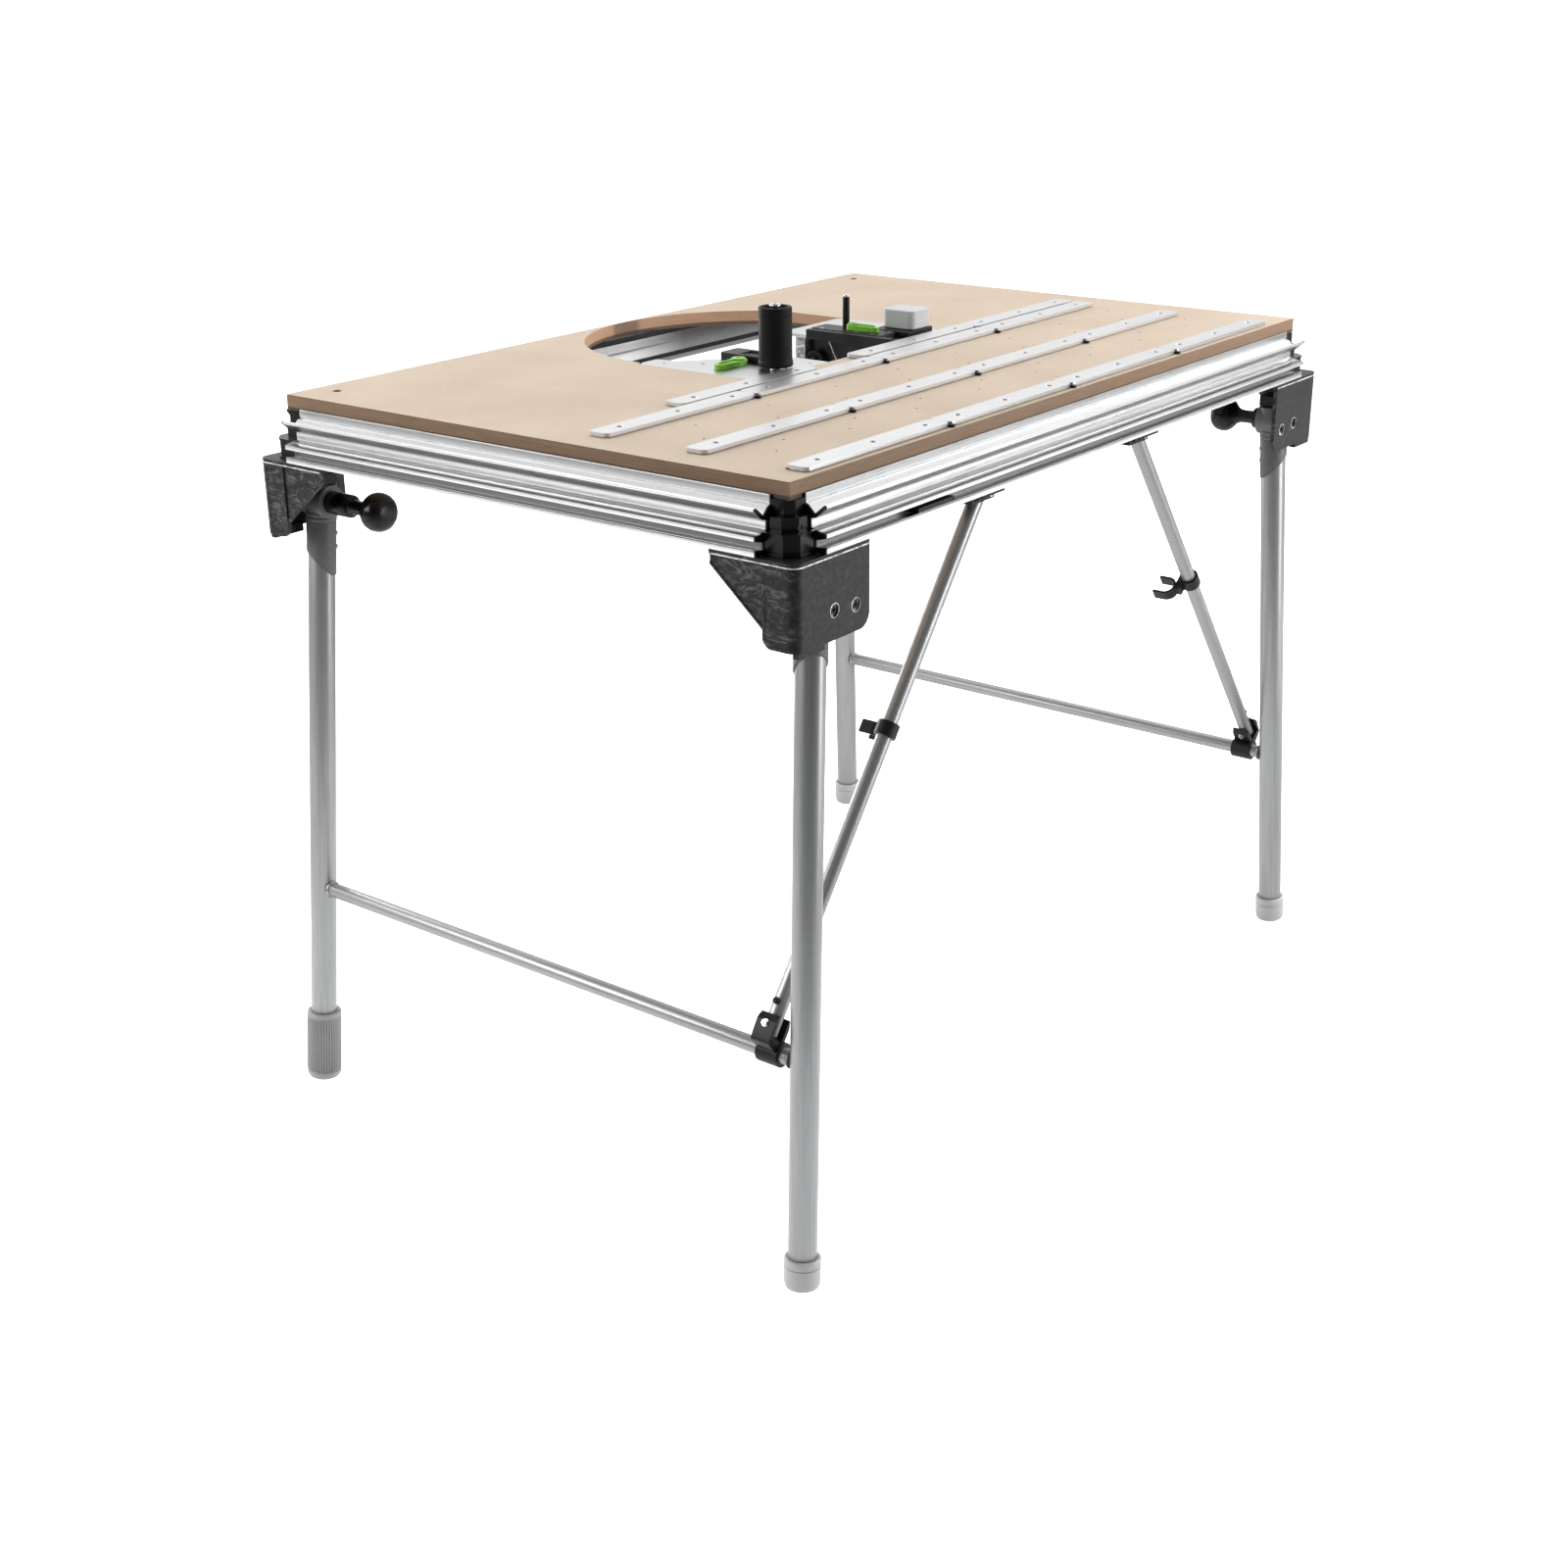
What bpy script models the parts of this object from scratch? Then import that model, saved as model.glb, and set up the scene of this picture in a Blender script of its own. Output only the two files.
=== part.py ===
"""Folding work table with a round machine cut-out, guide rails and an edge tool module.

X runs along the long side, Y along the short side, Z is up and the feet stand on Z = 0.
Lengths are metres. The near corner is (-X, -Y); corner pieces are built once in outward
coordinates, (u, v) = (|x|, |y|), and placed by the signs (sx, sy) of their corner.
"""
import bpy
import bmesh
from math import acos, atan2, cos, degrees, hypot, pi, radians, sin
from mathutils import Matrix, Vector

GAP = 0.0003                      # clearance between touching pieces

# Table top
TOP_Z = 0.880                     # working height
TOP_THICK = 0.018
TOP_HALF_X = 0.551
TOP_HALF_Y = 0.359
UNDER_Z = TOP_Z - TOP_THICK
PEG_HOLE = (0.505, 0.3255, 0.0055)            # x, y and radius of the four corner holes
CUTOUT_CENTRE = (0.028, 0.152)
CUTOUT_R = 0.206
CUTOUT_LEFT, CUTOUT_RIGHT = -0.185, 0.215     # straight sides that the module plates fill
CUTOUT_FRONT = -0.033

# Edge profiles: how far they stand proud of the top, and their levels
RIM_Z = 0.8655
LIP = 0.0275
PROFILE_BOTTOM = 0.809
PROFILE_IN = 0.008                # reach under the top
END_SETBACK = 0.0225              # profile ends short of the corner of the top

# Corner brackets
OUT_X = TOP_HALF_X + LIP
OUT_Y = TOP_HALF_Y + LIP
BRACKET_TOP = PROFILE_BOTTOM - GAP
BRACKET_FOOT = 0.720
BRACKET_INNER_X = 0.458
WALL = 0.005
SCREW_RECESS_R = 0.0068
STOP_SCREW = (0.4805, 0.747)      # outward x and height of the second screw

# Legs: hinge line and splay
HINGE_X, HINGE_Y, HINGE_Z = 0.516, 0.3578, 0.750
FOOT_X, FOOT_Y = 0.575, 0.385
TUBE_R, TUBE_BORE = 0.016, 0.014
HEAD_HALF = 0.0185                # half width of a leg head along the hinge
COLLAR_FOOT = 0.0235              # the tube begins this far below the hinge
TUBE_LOW = 0.0110                 # and ends this far above the floor, inside its foot
FOOT_CAP_R, FOOT_CAP_H = 0.0203, 0.038
LEVELLING_R, LEVELLING_H = 0.0215, 0.094
FLUTES, FLUTE_DEPTH = 20, 0.0009
FLUTE_LOW, FLUTE_HIGH = 0.014, 0.088
CROSSBAR_Z = 0.263
CROSSBAR_R = 0.009

# Diagonal struts
STRUT_Y = -0.333
STRUT_R = 0.009
BOLT_X, BOLT_Z, BOLT_R = 0.5551, 0.2940, 0.0034
BUTTON_R = 0.0036
BUTTON_SEAT = 0.0016              # floor of the button's seat, above the strut's axis
BUTTON_TRAVEL = 0.0030
STRUT_TOP_X, STRUT_TOP_Z = 0.185, 0.778
STRUT_LENGTH = hypot(BOLT_X - STRUT_TOP_X, STRUT_TOP_Z - BOLT_Z)  # from the bolt to a point below the hook
STRUT_END = STRUT_LENGTH + 0.0170  # the bar stops inside the hook's block
BUTTON_AT = 0.026                 # button and clip, measured along the strut from its bolt
CLIP_AT = 0.340

# Guide rails on the top
RAIL_W, RAIL_H = 0.028, 0.0047
RAIL_START, RAIL_PITCH = -0.512, 0.250
ON_TOP = TOP_Z + GAP              # level of everything that lies on the top or its plates

# Tool module, let into the cut-out
ADAPTER_THICK, CARRIER_THICK = 0.006, 0.004
STOP_TOP = 0.8881                 # top of the stop plate and of the block's base
ROLLER = (-0.116, -0.007)
LEFT_LEVER, RIGHT_LEVER = (-0.1215, 0.045), (0.113, 0.045)
LEVER_H = 0.0085
GUIDE_PIN = (0.124, 0.0635)
TOOL_FLOOR = 0.828                # lowest level of the tool; the folded legs pass below it
WHEEL = (0.0930, 0.088, 0.848)


# ---------------------------------------------------------------- mesh helpers

def face_out(bm):
    """Turn every face of a closed solid outward."""
    if bm.calc_volume(signed=True) < 0.0:
        bmesh.ops.reverse_faces(bm, faces=bm.faces)
    return bm


def plane_point(axis, a, b, h):
    """Point of an outline (a, b) at height h along the named axis."""
    return {"X": (h, a, b), "Y": (a, h, b), "Z": (a, b, h)}[axis]


def prism(outline, axis, lo, hi):
    """Closed solid: the outline extruded along an axis from lo to hi."""
    bm = bmesh.new()
    low = [bm.verts.new(plane_point(axis, a, b, lo)) for a, b in outline]
    high = [bm.verts.new(plane_point(axis, a, b, hi)) for a, b in outline]
    bm.faces.new(low)
    bm.faces.new(list(reversed(high)))
    for i in range(len(outline)):
        j = (i + 1) % len(outline)
        bm.faces.new((low[j], low[i], high[i], high[j]))
    return face_out(bm)


def block(lo, hi):
    """Box between two corners."""
    return prism([(lo[0], lo[1]), (hi[0], lo[1]), (hi[0], hi[1]), (lo[0], hi[1])], "Z", lo[2], hi[2])


def frame_along(origin, direction):
    """Matrix whose local Z axis runs from the origin along a direction."""
    turn = Vector(direction).normalized().to_track_quat("Z", "Y").to_matrix().to_4x4()
    return Matrix.Translation(Vector(origin)) @ turn


def turned(profile, origin, direction, sides=24):
    """Solid of revolution of (radius, height) points; a zero radius closes on the axis.

    A profile that never meets the axis closes on itself as a ring.
    """
    bm = bmesh.new()
    rings = []
    for r, h in profile:
        if r == 0.0:
            rings.append([bm.verts.new((0.0, 0.0, h))])
            continue
        angles = [2.0 * pi * i / sides for i in range(sides)]
        rings.append([bm.verts.new((r * cos(a), r * sin(a), h)) for a in angles])
    pairs = list(zip(rings, rings[1:]))
    if profile[0][0] > 0.0:
        pairs.append((rings[-1], rings[0]))
    for lower, upper in pairs:
        for i in range(sides):
            j = (i + 1) % sides
            if len(lower) == 1:
                bm.faces.new((lower[0], upper[j], upper[i]))
            elif len(upper) == 1:
                bm.faces.new((lower[i], lower[j], upper[0]))
            else:
                bm.faces.new((lower[i], lower[j], upper[j], upper[i]))
    bm.transform(frame_along(origin, direction))
    return face_out(bm)


def rod(a, b, radius, sides=24):
    """Plain round bar between two points."""
    a, b = Vector(a), Vector(b)
    length = (b - a).length
    return turned([(0.0, 0.0), (radius, 0.0), (radius, length), (0.0, length)], a, b - a, sides)


def rounded(outline, radius, steps=3):
    """Outline with every corner turned into an arc of the same radius."""
    result = []
    count = len(outline)
    for i in range(count):
        before, here, after = (Vector(outline[(i + k) % count]) for k in (-1, 0, 1))
        start = here + (before - here).normalized() * radius
        end = here + (after - here).normalized() * radius
        for k in range(steps + 1):
            t = k / steps
            point = start * (1 - t) ** 2 + here * 2 * t * (1 - t) + end * t ** 2
            result.append((point.x, point.y))
    return result


def arc(centre, radius, start_deg, end_deg, steps):
    """Points of an arc, both ends included."""
    span = end_deg - start_deg
    angles = [radians(start_deg + span * k / steps) for k in range(steps + 1)]
    return [(centre[0] + radius * cos(a), centre[1] + radius * sin(a)) for a in angles]


def to_corner(bm, sx, sy):
    """Move a solid built in outward coordinates to its corner of the table."""
    bm.transform(Matrix.Diagonal((sx, sy, 1.0, 1.0)))
    return face_out(bm)


# -------------------------------------------------------------- object helpers

def clear_scene():
    for obj in list(bpy.data.objects):
        bpy.data.objects.remove(obj, do_unlink=True)


def link_mesh(name, bm, offset):
    bmesh.ops.translate(bm, verts=bm.verts, vec=-Vector(offset))
    mesh = bpy.data.meshes.new(name)
    bm.to_mesh(mesh)
    bm.free()
    obj = bpy.data.objects.new(name, mesh)
    bpy.context.scene.collection.objects.link(obj)
    return obj


def pivot(name, location):
    """Empty on a joint axis; the pieces that move about it are its children."""
    empty = bpy.data.objects.new(name, None)
    empty.location = location
    empty.empty_display_size = 0.03
    bpy.context.scene.collection.objects.link(empty)
    return empty


def piece(name, bm, look, parent=None, sharp_deg=35.0):
    """Named part with its own material, hung on its pivot."""
    offset = parent.location if parent else (0.0, 0.0, 0.0)
    obj = link_mesh(name, bm, offset)
    obj.parent = parent
    colour, metallic, roughness = look
    material = bpy.data.materials.new(name + "_finish")
    material.use_nodes = True
    shader = material.node_tree.nodes["Principled BSDF"]
    shader.inputs["Base Color"].default_value = (*colour, 1.0)
    shader.inputs["Metallic"].default_value = metallic
    shader.inputs["Roughness"].default_value = roughness
    material.diffuse_color = (*colour, 1.0)
    obj.data.materials.append(material)
    obj.data.shade_smooth()
    obj.data.set_sharp_from_angle(angle=radians(sharp_deg))
    return obj


def combine(obj, bm, operation):
    """Join a solid to a part (UNION) or take it away (DIFFERENCE)."""
    tool = link_mesh(obj.name + "_tool", bm, (0.0, 0.0, 0.0))
    tool.hide_render = True
    tool.display_type = "WIRE"
    modifier = obj.modifiers.new(operation.lower(), "BOOLEAN")
    modifier.operation = operation
    modifier.solver = "EXACT"
    modifier.object = tool


def join(obj, *solids):
    for bm in solids:
        combine(obj, bm, "UNION")


def cut(obj, *solids):
    for bm in solids:
        combine(obj, bm, "DIFFERENCE")


# Looks: base colour, metallic, roughness
MDF = ((0.62, 0.44, 0.27), 0.0, 0.65)
ALUMINIUM = ((0.80, 0.81, 0.82), 1.0, 0.30)
CAST = ((0.16, 0.16, 0.17), 0.7, 0.45)
BLACK = ((0.012, 0.012, 0.013), 0.0, 0.45)
TUBE = ((0.62, 0.63, 0.64), 0.3, 0.40)
GREY_PLASTIC = ((0.42, 0.42, 0.43), 0.0, 0.55)
LIGHT_GREY = ((0.55, 0.56, 0.57), 0.0, 0.45)
GREEN = ((0.25, 0.62, 0.05), 0.0, 0.40)
CHROME = ((0.80, 0.80, 0.80), 1.0, 0.12)


# ------------------------------------------------------------------- table top

def cutout_outline():
    """Round opening with straight sides where the two module plates are let in."""
    cx, cy = CUTOUT_CENTRE
    meets_right = degrees(acos((CUTOUT_RIGHT - cx) / CUTOUT_R))
    points = arc(CUTOUT_CENTRE, CUTOUT_R, meets_right, 180, 40)
    return points + [(CUTOUT_LEFT, cy), (CUTOUT_LEFT, CUTOUT_FRONT), (CUTOUT_RIGHT, CUTOUT_FRONT)]


def table_top():
    board = block((-TOP_HALF_X, -TOP_HALF_Y, UNDER_Z), (TOP_HALF_X, TOP_HALF_Y, TOP_Z))
    obj = piece("table_top", board, MDF)
    below, above = UNDER_Z - 0.01, TOP_Z + 0.01
    cut(obj, prism(cutout_outline(), "Z", below, above))
    x, y, r = PEG_HOLE
    for sx in (-1, 1):
        for sy in (-1, 1):
            cut(obj, rod((sx * x, sy * y, below), (sx * x, sy * y, above), r, 16))


# --------------------------------------------------------------- edge profiles

def profile_section():
    """Outline of an edge profile as (distance out from the top's edge, height)."""
    return [
        (GAP, RIM_Z), (0.0025, RIM_Z), (0.0025, 0.8565), (0.0060, 0.8548),
        (0.0140, 0.8470), (0.0255, 0.8568), (LIP, 0.8560), (LIP, 0.8538),
        (0.0155, 0.8434), (0.0092, 0.8425), (0.0092, 0.8328),
        (0.0255, 0.8294), (LIP, 0.8284), (LIP, 0.8246),
        (0.0153, 0.8215), (0.0153, 0.8142), (LIP, 0.8158), (LIP, PROFILE_BOTTOM),
        (-PROFILE_IN, PROFILE_BOTTOM), (-PROFILE_IN, UNDER_Z - GAP), (GAP, UNDER_Z - GAP),
    ]


def section_along_x(sy):
    return [(sy * (TOP_HALF_Y + out), z) for out, z in profile_section()]


def section_along_y(sx):
    return [(sx * (TOP_HALF_X + out), z) for out, z in profile_section()]


def profiles():
    end_x = TOP_HALF_X - END_SETBACK
    end_y = TOP_HALF_Y - END_SETBACK
    for sy, name in ((-1, "profile_front"), (1, "profile_back")):
        piece(name, prism(section_along_x(sy), "X", -end_x, end_x), ALUMINIUM, sharp_deg=10)
    for sx, name in ((-1, "profile_left"), (1, "profile_right")):
        piece(name, prism(section_along_y(sx), "Y", -end_y, end_y), ALUMINIUM, sharp_deg=10)


def corner_block(name, sx, sy):
    """Stepped plastic block between two profile ends, with a cover plate on each end."""
    in_x = TOP_HALF_X - END_SETBACK + GAP
    in_y = TOP_HALF_Y - END_SETBACK + GAP
    cover = 0.0018

    def level(out, chamfer, lo, hi):
        x, y = TOP_HALF_X + out, TOP_HALF_Y + out
        outline = [(in_x, in_y), (x, in_y), (x, y - chamfer), (x - chamfer, y), (in_x, y)]
        return to_corner(prism(outline, "Z", lo, hi), sx, sy)

    obj = piece(name, level(0.0025, 0.008, 0.8440, UNDER_Z - GAP), BLACK)
    join(obj, level(0.0072, 0.012, 0.8300, 0.8462), level(0.0140, 0.012, PROFILE_BOTTOM, 0.8320))
    x_cover = prism(section_along_x(1), "X", in_x, in_x + cover)
    y_cover = prism(section_along_y(1), "Y", in_y, in_y + cover)
    join(obj, to_corner(x_cover, sx, sy), to_corner(y_cover, sx, sy))


# -------------------------------------------------------------- corner brackets

def bracket(name, sx, sy):
    """Cast corner bracket: two walls, a gusset, a fixing plate, the hinge boss and a lip beside the leg."""
    foot, top = BRACKET_FOOT, BRACKET_TOP
    toe, curl = 0.003, 0.016          # chamfer at the outer foot, round at the inner foot
    gusset_end, short_end, gusset_foot, gusset_top = 0.280, 0.345, 0.737, 0.793
    inner_x, curl_x = BRACKET_INNER_X, BRACKET_INNER_X + curl
    wall_x = [(OUT_X, top), (OUT_X, foot + toe), (OUT_X - toe, foot), (curl_x, foot)]
    wall_x += arc((curl_x, foot + curl), curl, 260, 190, 4)
    wall_x += [(inner_x, foot + curl), (inner_x, top)]
    long_wall = prism(wall_x, "Y", OUT_Y - WALL, OUT_Y)
    wall_y = [(OUT_Y, top), (OUT_Y, foot + toe), (OUT_Y - toe, foot), (short_end, foot)]
    wall_y += [(short_end, gusset_foot), (gusset_end, gusset_top), (gusset_end, top)]
    short_wall = prism(wall_y, "X", OUT_X - WALL, OUT_X)
    plate = prism([
        (OUT_X, OUT_Y), (inner_x, OUT_Y), (inner_x, short_end),
        (0.552, short_end), (0.562, gusset_end), (OUT_X, gusset_end),
    ], "Z", top - WALL, top)
    boss_y = HINGE_Y + HEAD_HALF + GAP
    boss = rod((HINGE_X, boss_y, HINGE_Z), (HINGE_X, OUT_Y - 0.001, HINGE_Z), 0.016, 20)
    lip = block((0.530, 0.3770, foot - 0.0065), (0.572, 0.3845, foot + 0.004))
    obj = piece(name, to_corner(long_wall, sx, sy), CAST)
    join(obj, *(to_corner(solid, sx, sy) for solid in (short_wall, plate, boss, lip)))

    def recess(x, z, depth):
        return rod((x, OUT_Y - depth, z), (x, OUT_Y + 0.01, z), SCREW_RECESS_R, 16)

    pin_socket = rod((HINGE_X, boss_y - 0.01, HINGE_Z), (HINGE_X, boss_y + 0.0035, HINGE_Z), 0.0055, 16)
    tools = (recess(HINGE_X, HINGE_Z, 0.0045), recess(*STOP_SCREW, 0.0035), pin_socket, corner_round_tool())
    cut(obj, *(to_corner(tool, sx, sy) for tool in tools))


def corner_round_tool():
    """Waste outside the rounded vertical edge between the two bracket walls."""
    radius = 0.012
    centre = (OUT_X - radius, OUT_Y - radius)
    outline = arc(centre, radius, 0, 90, 4) + [(centre[0], OUT_Y + 0.01), (OUT_X + 0.01, OUT_Y + 0.01)]
    outline += [(OUT_X + 0.01, centre[1])]
    return prism(outline, "Z", BRACKET_FOOT - 0.001, BRACKET_TOP + 0.01)


# ------------------------------------------------------------------------- legs

def leg_ends(sx, sy):
    hinge = Vector((sx * HINGE_X, sy * HINGE_Y, HINGE_Z))
    floor = Vector((sx * FOOT_X, sy * FOOT_Y, 0.0))
    return hinge, floor


def leg_point(sx, sy, z):
    hinge, floor = leg_ends(sx, sy)
    return hinge.lerp(floor, (HINGE_Z - z) / HINGE_Z)


def leg_head(name, sx, sy, parent):
    """Cast head: hinge knuckle, collar with two rings, spigot into the tube, hinge pin."""
    hinge, floor = leg_ends(sx, sy)
    up = (hinge - floor).normalized()
    collar = [
        (0.0, -0.060), (0.0136, -0.060), (0.0136, -COLLAR_FOOT), (0.0180, -COLLAR_FOOT), (0.0180, -0.0190),
        (0.0172, -0.0180), (0.0180, -0.0170), (0.0180, -0.0130), (0.0172, -0.0120), (0.0180, -0.0110),
        (0.0180, 0.020), (0.0, 0.020),
    ]
    obj = piece(name, turned(collar, hinge, up, 20), CAST, parent)
    y_in, y_out = sy * (HINGE_Y - HEAD_HALF), sy * (HINGE_Y + HEAD_HALF)
    knuckle = rod((hinge.x, y_in, hinge.z), (hinge.x, y_out, hinge.z), 0.0195, 24)
    half = Vector((0.014, 0.0165, 0.0))
    cheek = block(hinge - half, hinge + half + Vector((0.0, 0.0, 0.034)))
    pin_end = sy * (HINGE_Y + HEAD_HALF + GAP + 0.0030)
    pin = rod((hinge.x, sy * HINGE_Y, hinge.z), (hinge.x, pin_end, hinge.z), 0.0050, 16)
    join(obj, knuckle, cheek, pin)


def leg_tube(name, sx, sy, parent):
    """Round tube, open at both ends, from the head collar down into its foot."""
    hinge, floor = leg_ends(sx, sy)
    high = (hinge - floor).length - COLLAR_FOOT - GAP
    wall = [(TUBE_R, TUBE_LOW), (TUBE_R, high), (TUBE_BORE, high), (TUBE_BORE, TUBE_LOW)]
    piece(name, turned(wall, floor, hinge - floor, 24), TUBE, parent)


def foot_solid(sx, sy, outer, height, sides, rings=()):
    """Moulded foot: sleeve over the tube end, domed below; rings are extra levels in its wall."""
    hinge, floor = leg_ends(sx, sy)
    up = (hinge - floor).normalized()
    dome, lip, sleeve = 0.040, 0.0015, TUBE_R + GAP
    centre_h = (dome - 0.0012) / up.z
    profile = [(0.0, centre_h - dome)]
    profile += [(dome * sin(radians(a)), centre_h - dome * cos(radians(a))) for a in (9, 18, 24)]
    profile += [(outer, 0.0085), *((outer, h) for h in rings), (outer, height - lip), (outer - lip, height)]
    profile += [(sleeve, height), (sleeve, TUBE_LOW - 0.001), (0.0, TUBE_LOW - 0.001)]
    return turned(profile, floor, up, sides)


def pull_in_flutes(bm, sx, sy):
    """Press shallow grooves along the wall of the long foot, between its two extra rings."""
    hinge, floor = leg_ends(sx, sy)
    upright = frame_along(floor, hinge - floor)
    for vert in bm.verts:
        local = upright.inverted() @ vert.co
        on_wall = FLUTE_LOW - GAP < local.z < FLUTE_HIGH + GAP and local.xy.length > LEVELLING_R - GAP
        if on_wall and round(atan2(local.y, local.x) * FLUTES / pi) % 2:
            local.xy *= 1 - FLUTE_DEPTH / LEVELLING_R
            vert.co = upright @ local


def stand_flat(bm):
    """Cut a foot off level with the floor and close the cut."""
    below = bmesh.ops.bisect_plane(
        bm, geom=list(bm.verts) + list(bm.edges) + list(bm.faces),
        plane_co=(0, 0, 0), plane_no=(0, 0, 1), clear_inner=True)
    edges = [e for e in below["geom_cut"] if isinstance(e, bmesh.types.BMEdge)]
    bmesh.ops.edgeloop_fill(bm, edges=edges)
    bmesh.ops.recalc_face_normals(bm, faces=bm.faces)
    return face_out(bm)


def leg(tag, sx, sy, parent, levelling):
    leg_head("leg_head_" + tag, sx, sy, parent)
    leg_tube("leg_tube_" + tag, sx, sy, parent)
    if levelling:
        foot_pivot = pivot("levelling_foot_pivot", leg_ends(sx, sy)[1])
        solid = foot_solid(sx, sy, LEVELLING_R, LEVELLING_H, 2 * FLUTES, (FLUTE_LOW, FLUTE_HIGH))
        pull_in_flutes(solid, sx, sy)
        piece("levelling_foot", stand_flat(solid), GREY_PLASTIC, foot_pivot)
    else:
        solid = foot_solid(sx, sy, FOOT_CAP_R, FOOT_CAP_H, 24)
        piece("foot_cap_" + tag, stand_flat(solid), GREY_PLASTIC, parent)


def crossbar(name, sx, parent):
    end = leg_point(sx, 1, CROSSBAR_Z)
    half = end.y - TUBE_R - GAP - 0.0004
    piece(name, rod((end.x, -half, end.z), (end.x, half, end.z), CROSSBAR_R, 20), TUBE, parent)


def fold_knob(name, sx, sy, spacer):
    """Clamping knob on the hinge line: hub, neck and a flattened round grip, held off by a spacer."""
    start = HINGE_Y - HEAD_HALF - GAP
    origin = (sx * HINGE_X, sy * start, HINGE_Z)
    grip = [
        (0.0090, 0.0110), (0.0085, 0.0270), (0.0110, 0.0340), (0.0175, 0.0400), (0.0215, 0.0450),
        (0.0228, 0.0510), (0.0222, 0.0580), (0.0185, 0.0640), (0.0115, 0.0675), (0.0, 0.0685),
    ]
    profile = [(0.0, 0.0), (0.0134, 0.0), (0.0134, 0.0080 + spacer)]
    profile += [(r, h + spacer) for r, h in grip]
    knob_pivot = pivot(name + "_pivot", origin)
    piece(name, turned(profile, origin, (0, -sy, 0), 24), BLACK, knob_pivot)


# ---------------------------------------------------------------------- struts

def strut_frame(sx):
    """Matrix of the strut: X along it, Y along the bolt, Z along the table's +Y."""
    rise = Vector((-sx * (BOLT_X - STRUT_TOP_X), 0.0, STRUT_TOP_Z - BOLT_Z)).normalized()
    across = Vector((0.0, 1.0, 0.0))
    bolt = Vector((sx * rise.z, 0.0, -sx * rise.x))
    turn = Matrix((rise, bolt, across)).transposed().to_4x4()
    return Matrix.Translation((sx * BOLT_X, STRUT_Y, BOLT_Z)) @ turn


def placed(bm, matrix):
    bm.transform(matrix)
    return face_out(bm)


def strut(name, sx, parent):
    """Round strut with a bolt hole near its foot and a blind seat for the button."""
    frame = strut_frame(sx)
    bar = rod((-0.010, 0, 0), (STRUT_END, 0, 0), STRUT_R, 20)
    obj = piece(name, placed(bar, frame), TUBE, parent)
    hole = rod((0, -0.02, 0), (0, 0.02, 0), BOLT_R + 0.0004, 16)
    seat = rod((BUTTON_AT, BUTTON_SEAT, 0), (BUTTON_AT, 0.02, 0), BUTTON_R + 0.0004, 16)
    cut(obj, placed(hole, frame), placed(seat, frame))


def strut_clamp(name, sx, parent):
    """Clamp on the crossbar: sleeve, two cheeks and the bolt through them."""
    frame = strut_frame(sx)
    bar = frame.inverted() @ Vector((leg_point(sx, 1, CROSSBAR_Z).x, STRUT_Y, CROSSBAR_Z))
    half = 0.012
    cheeks = [(bar.x - 0.004, -0.0152), (0.004, -0.0152), (0.0125, -0.0152), (0.0125, 0.0152)]
    cheeks += [(0.0, 0.0152), (bar.x + 0.004, 0.0100)]
    body = prism(cheeks, "Z", -half, half)
    obj = piece(name, placed(body, frame), BLACK, parent)
    sleeve = rod((bar.x, bar.y, -half - 0.002), (bar.x, bar.y, half + 0.002), 0.0138, 20)
    join(obj, placed(sleeve, frame))
    slot = block((-0.0138, -0.0098, -0.03), (0.03, 0.0098, 0.03))  # clears the strut's turning end
    bore = rod((bar.x, bar.y, -0.03), (bar.x, bar.y, 0.03), CROSSBAR_R + GAP, 20)
    cut(obj, placed(slot, frame), placed(bore, frame))
    join(obj, placed(rod((0, -0.0160, 0), (0, 0.0160, 0), BOLT_R, 16), frame))


def strut_clip(name, sx, parent):
    """Open clip that snaps over the crossbar when the strut is stowed along it."""
    frame = strut_frame(sx)
    bar = frame.inverted() @ Vector((leg_point(sx, 1, CROSSBAR_Z).x, STRUT_Y, CROSSBAR_Z))
    reach = -bar.x
    shift = bar.y
    half = 0.008
    collar = rod((CLIP_AT - half, 0, 0), (CLIP_AT + half, 0, 0), STRUT_R + 0.0035, 20)
    obj = piece(name, placed(collar, frame), BLACK, parent)
    inner, outer = CROSSBAR_R + 0.0012, CROSSBAR_R + 0.0045
    mouth = reach + 0.014
    jaws = arc((shift, reach), outer, 180, 360, 8) + [(shift + outer, mouth), (shift + inner, mouth)]
    jaws += arc((shift, reach), inner, 360, 180, 8) + [(shift - inner, mouth), (shift - outer, mouth)]
    web_half, jaw_half = half - 0.0015, half - 0.0006
    web_top = reach - inner - 0.001
    web = block((CLIP_AT - web_half, shift - 0.002, 0.004), (CLIP_AT + web_half, 0.004, web_top))
    join(obj, placed(web, frame), placed(prism(jaws, "X", CLIP_AT - jaw_half, CLIP_AT + jaw_half), frame))
    cut(obj, placed(rod((CLIP_AT - 0.03, 0, 0), (CLIP_AT + 0.03, 0, 0), STRUT_R + GAP, 20), frame))


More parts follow.
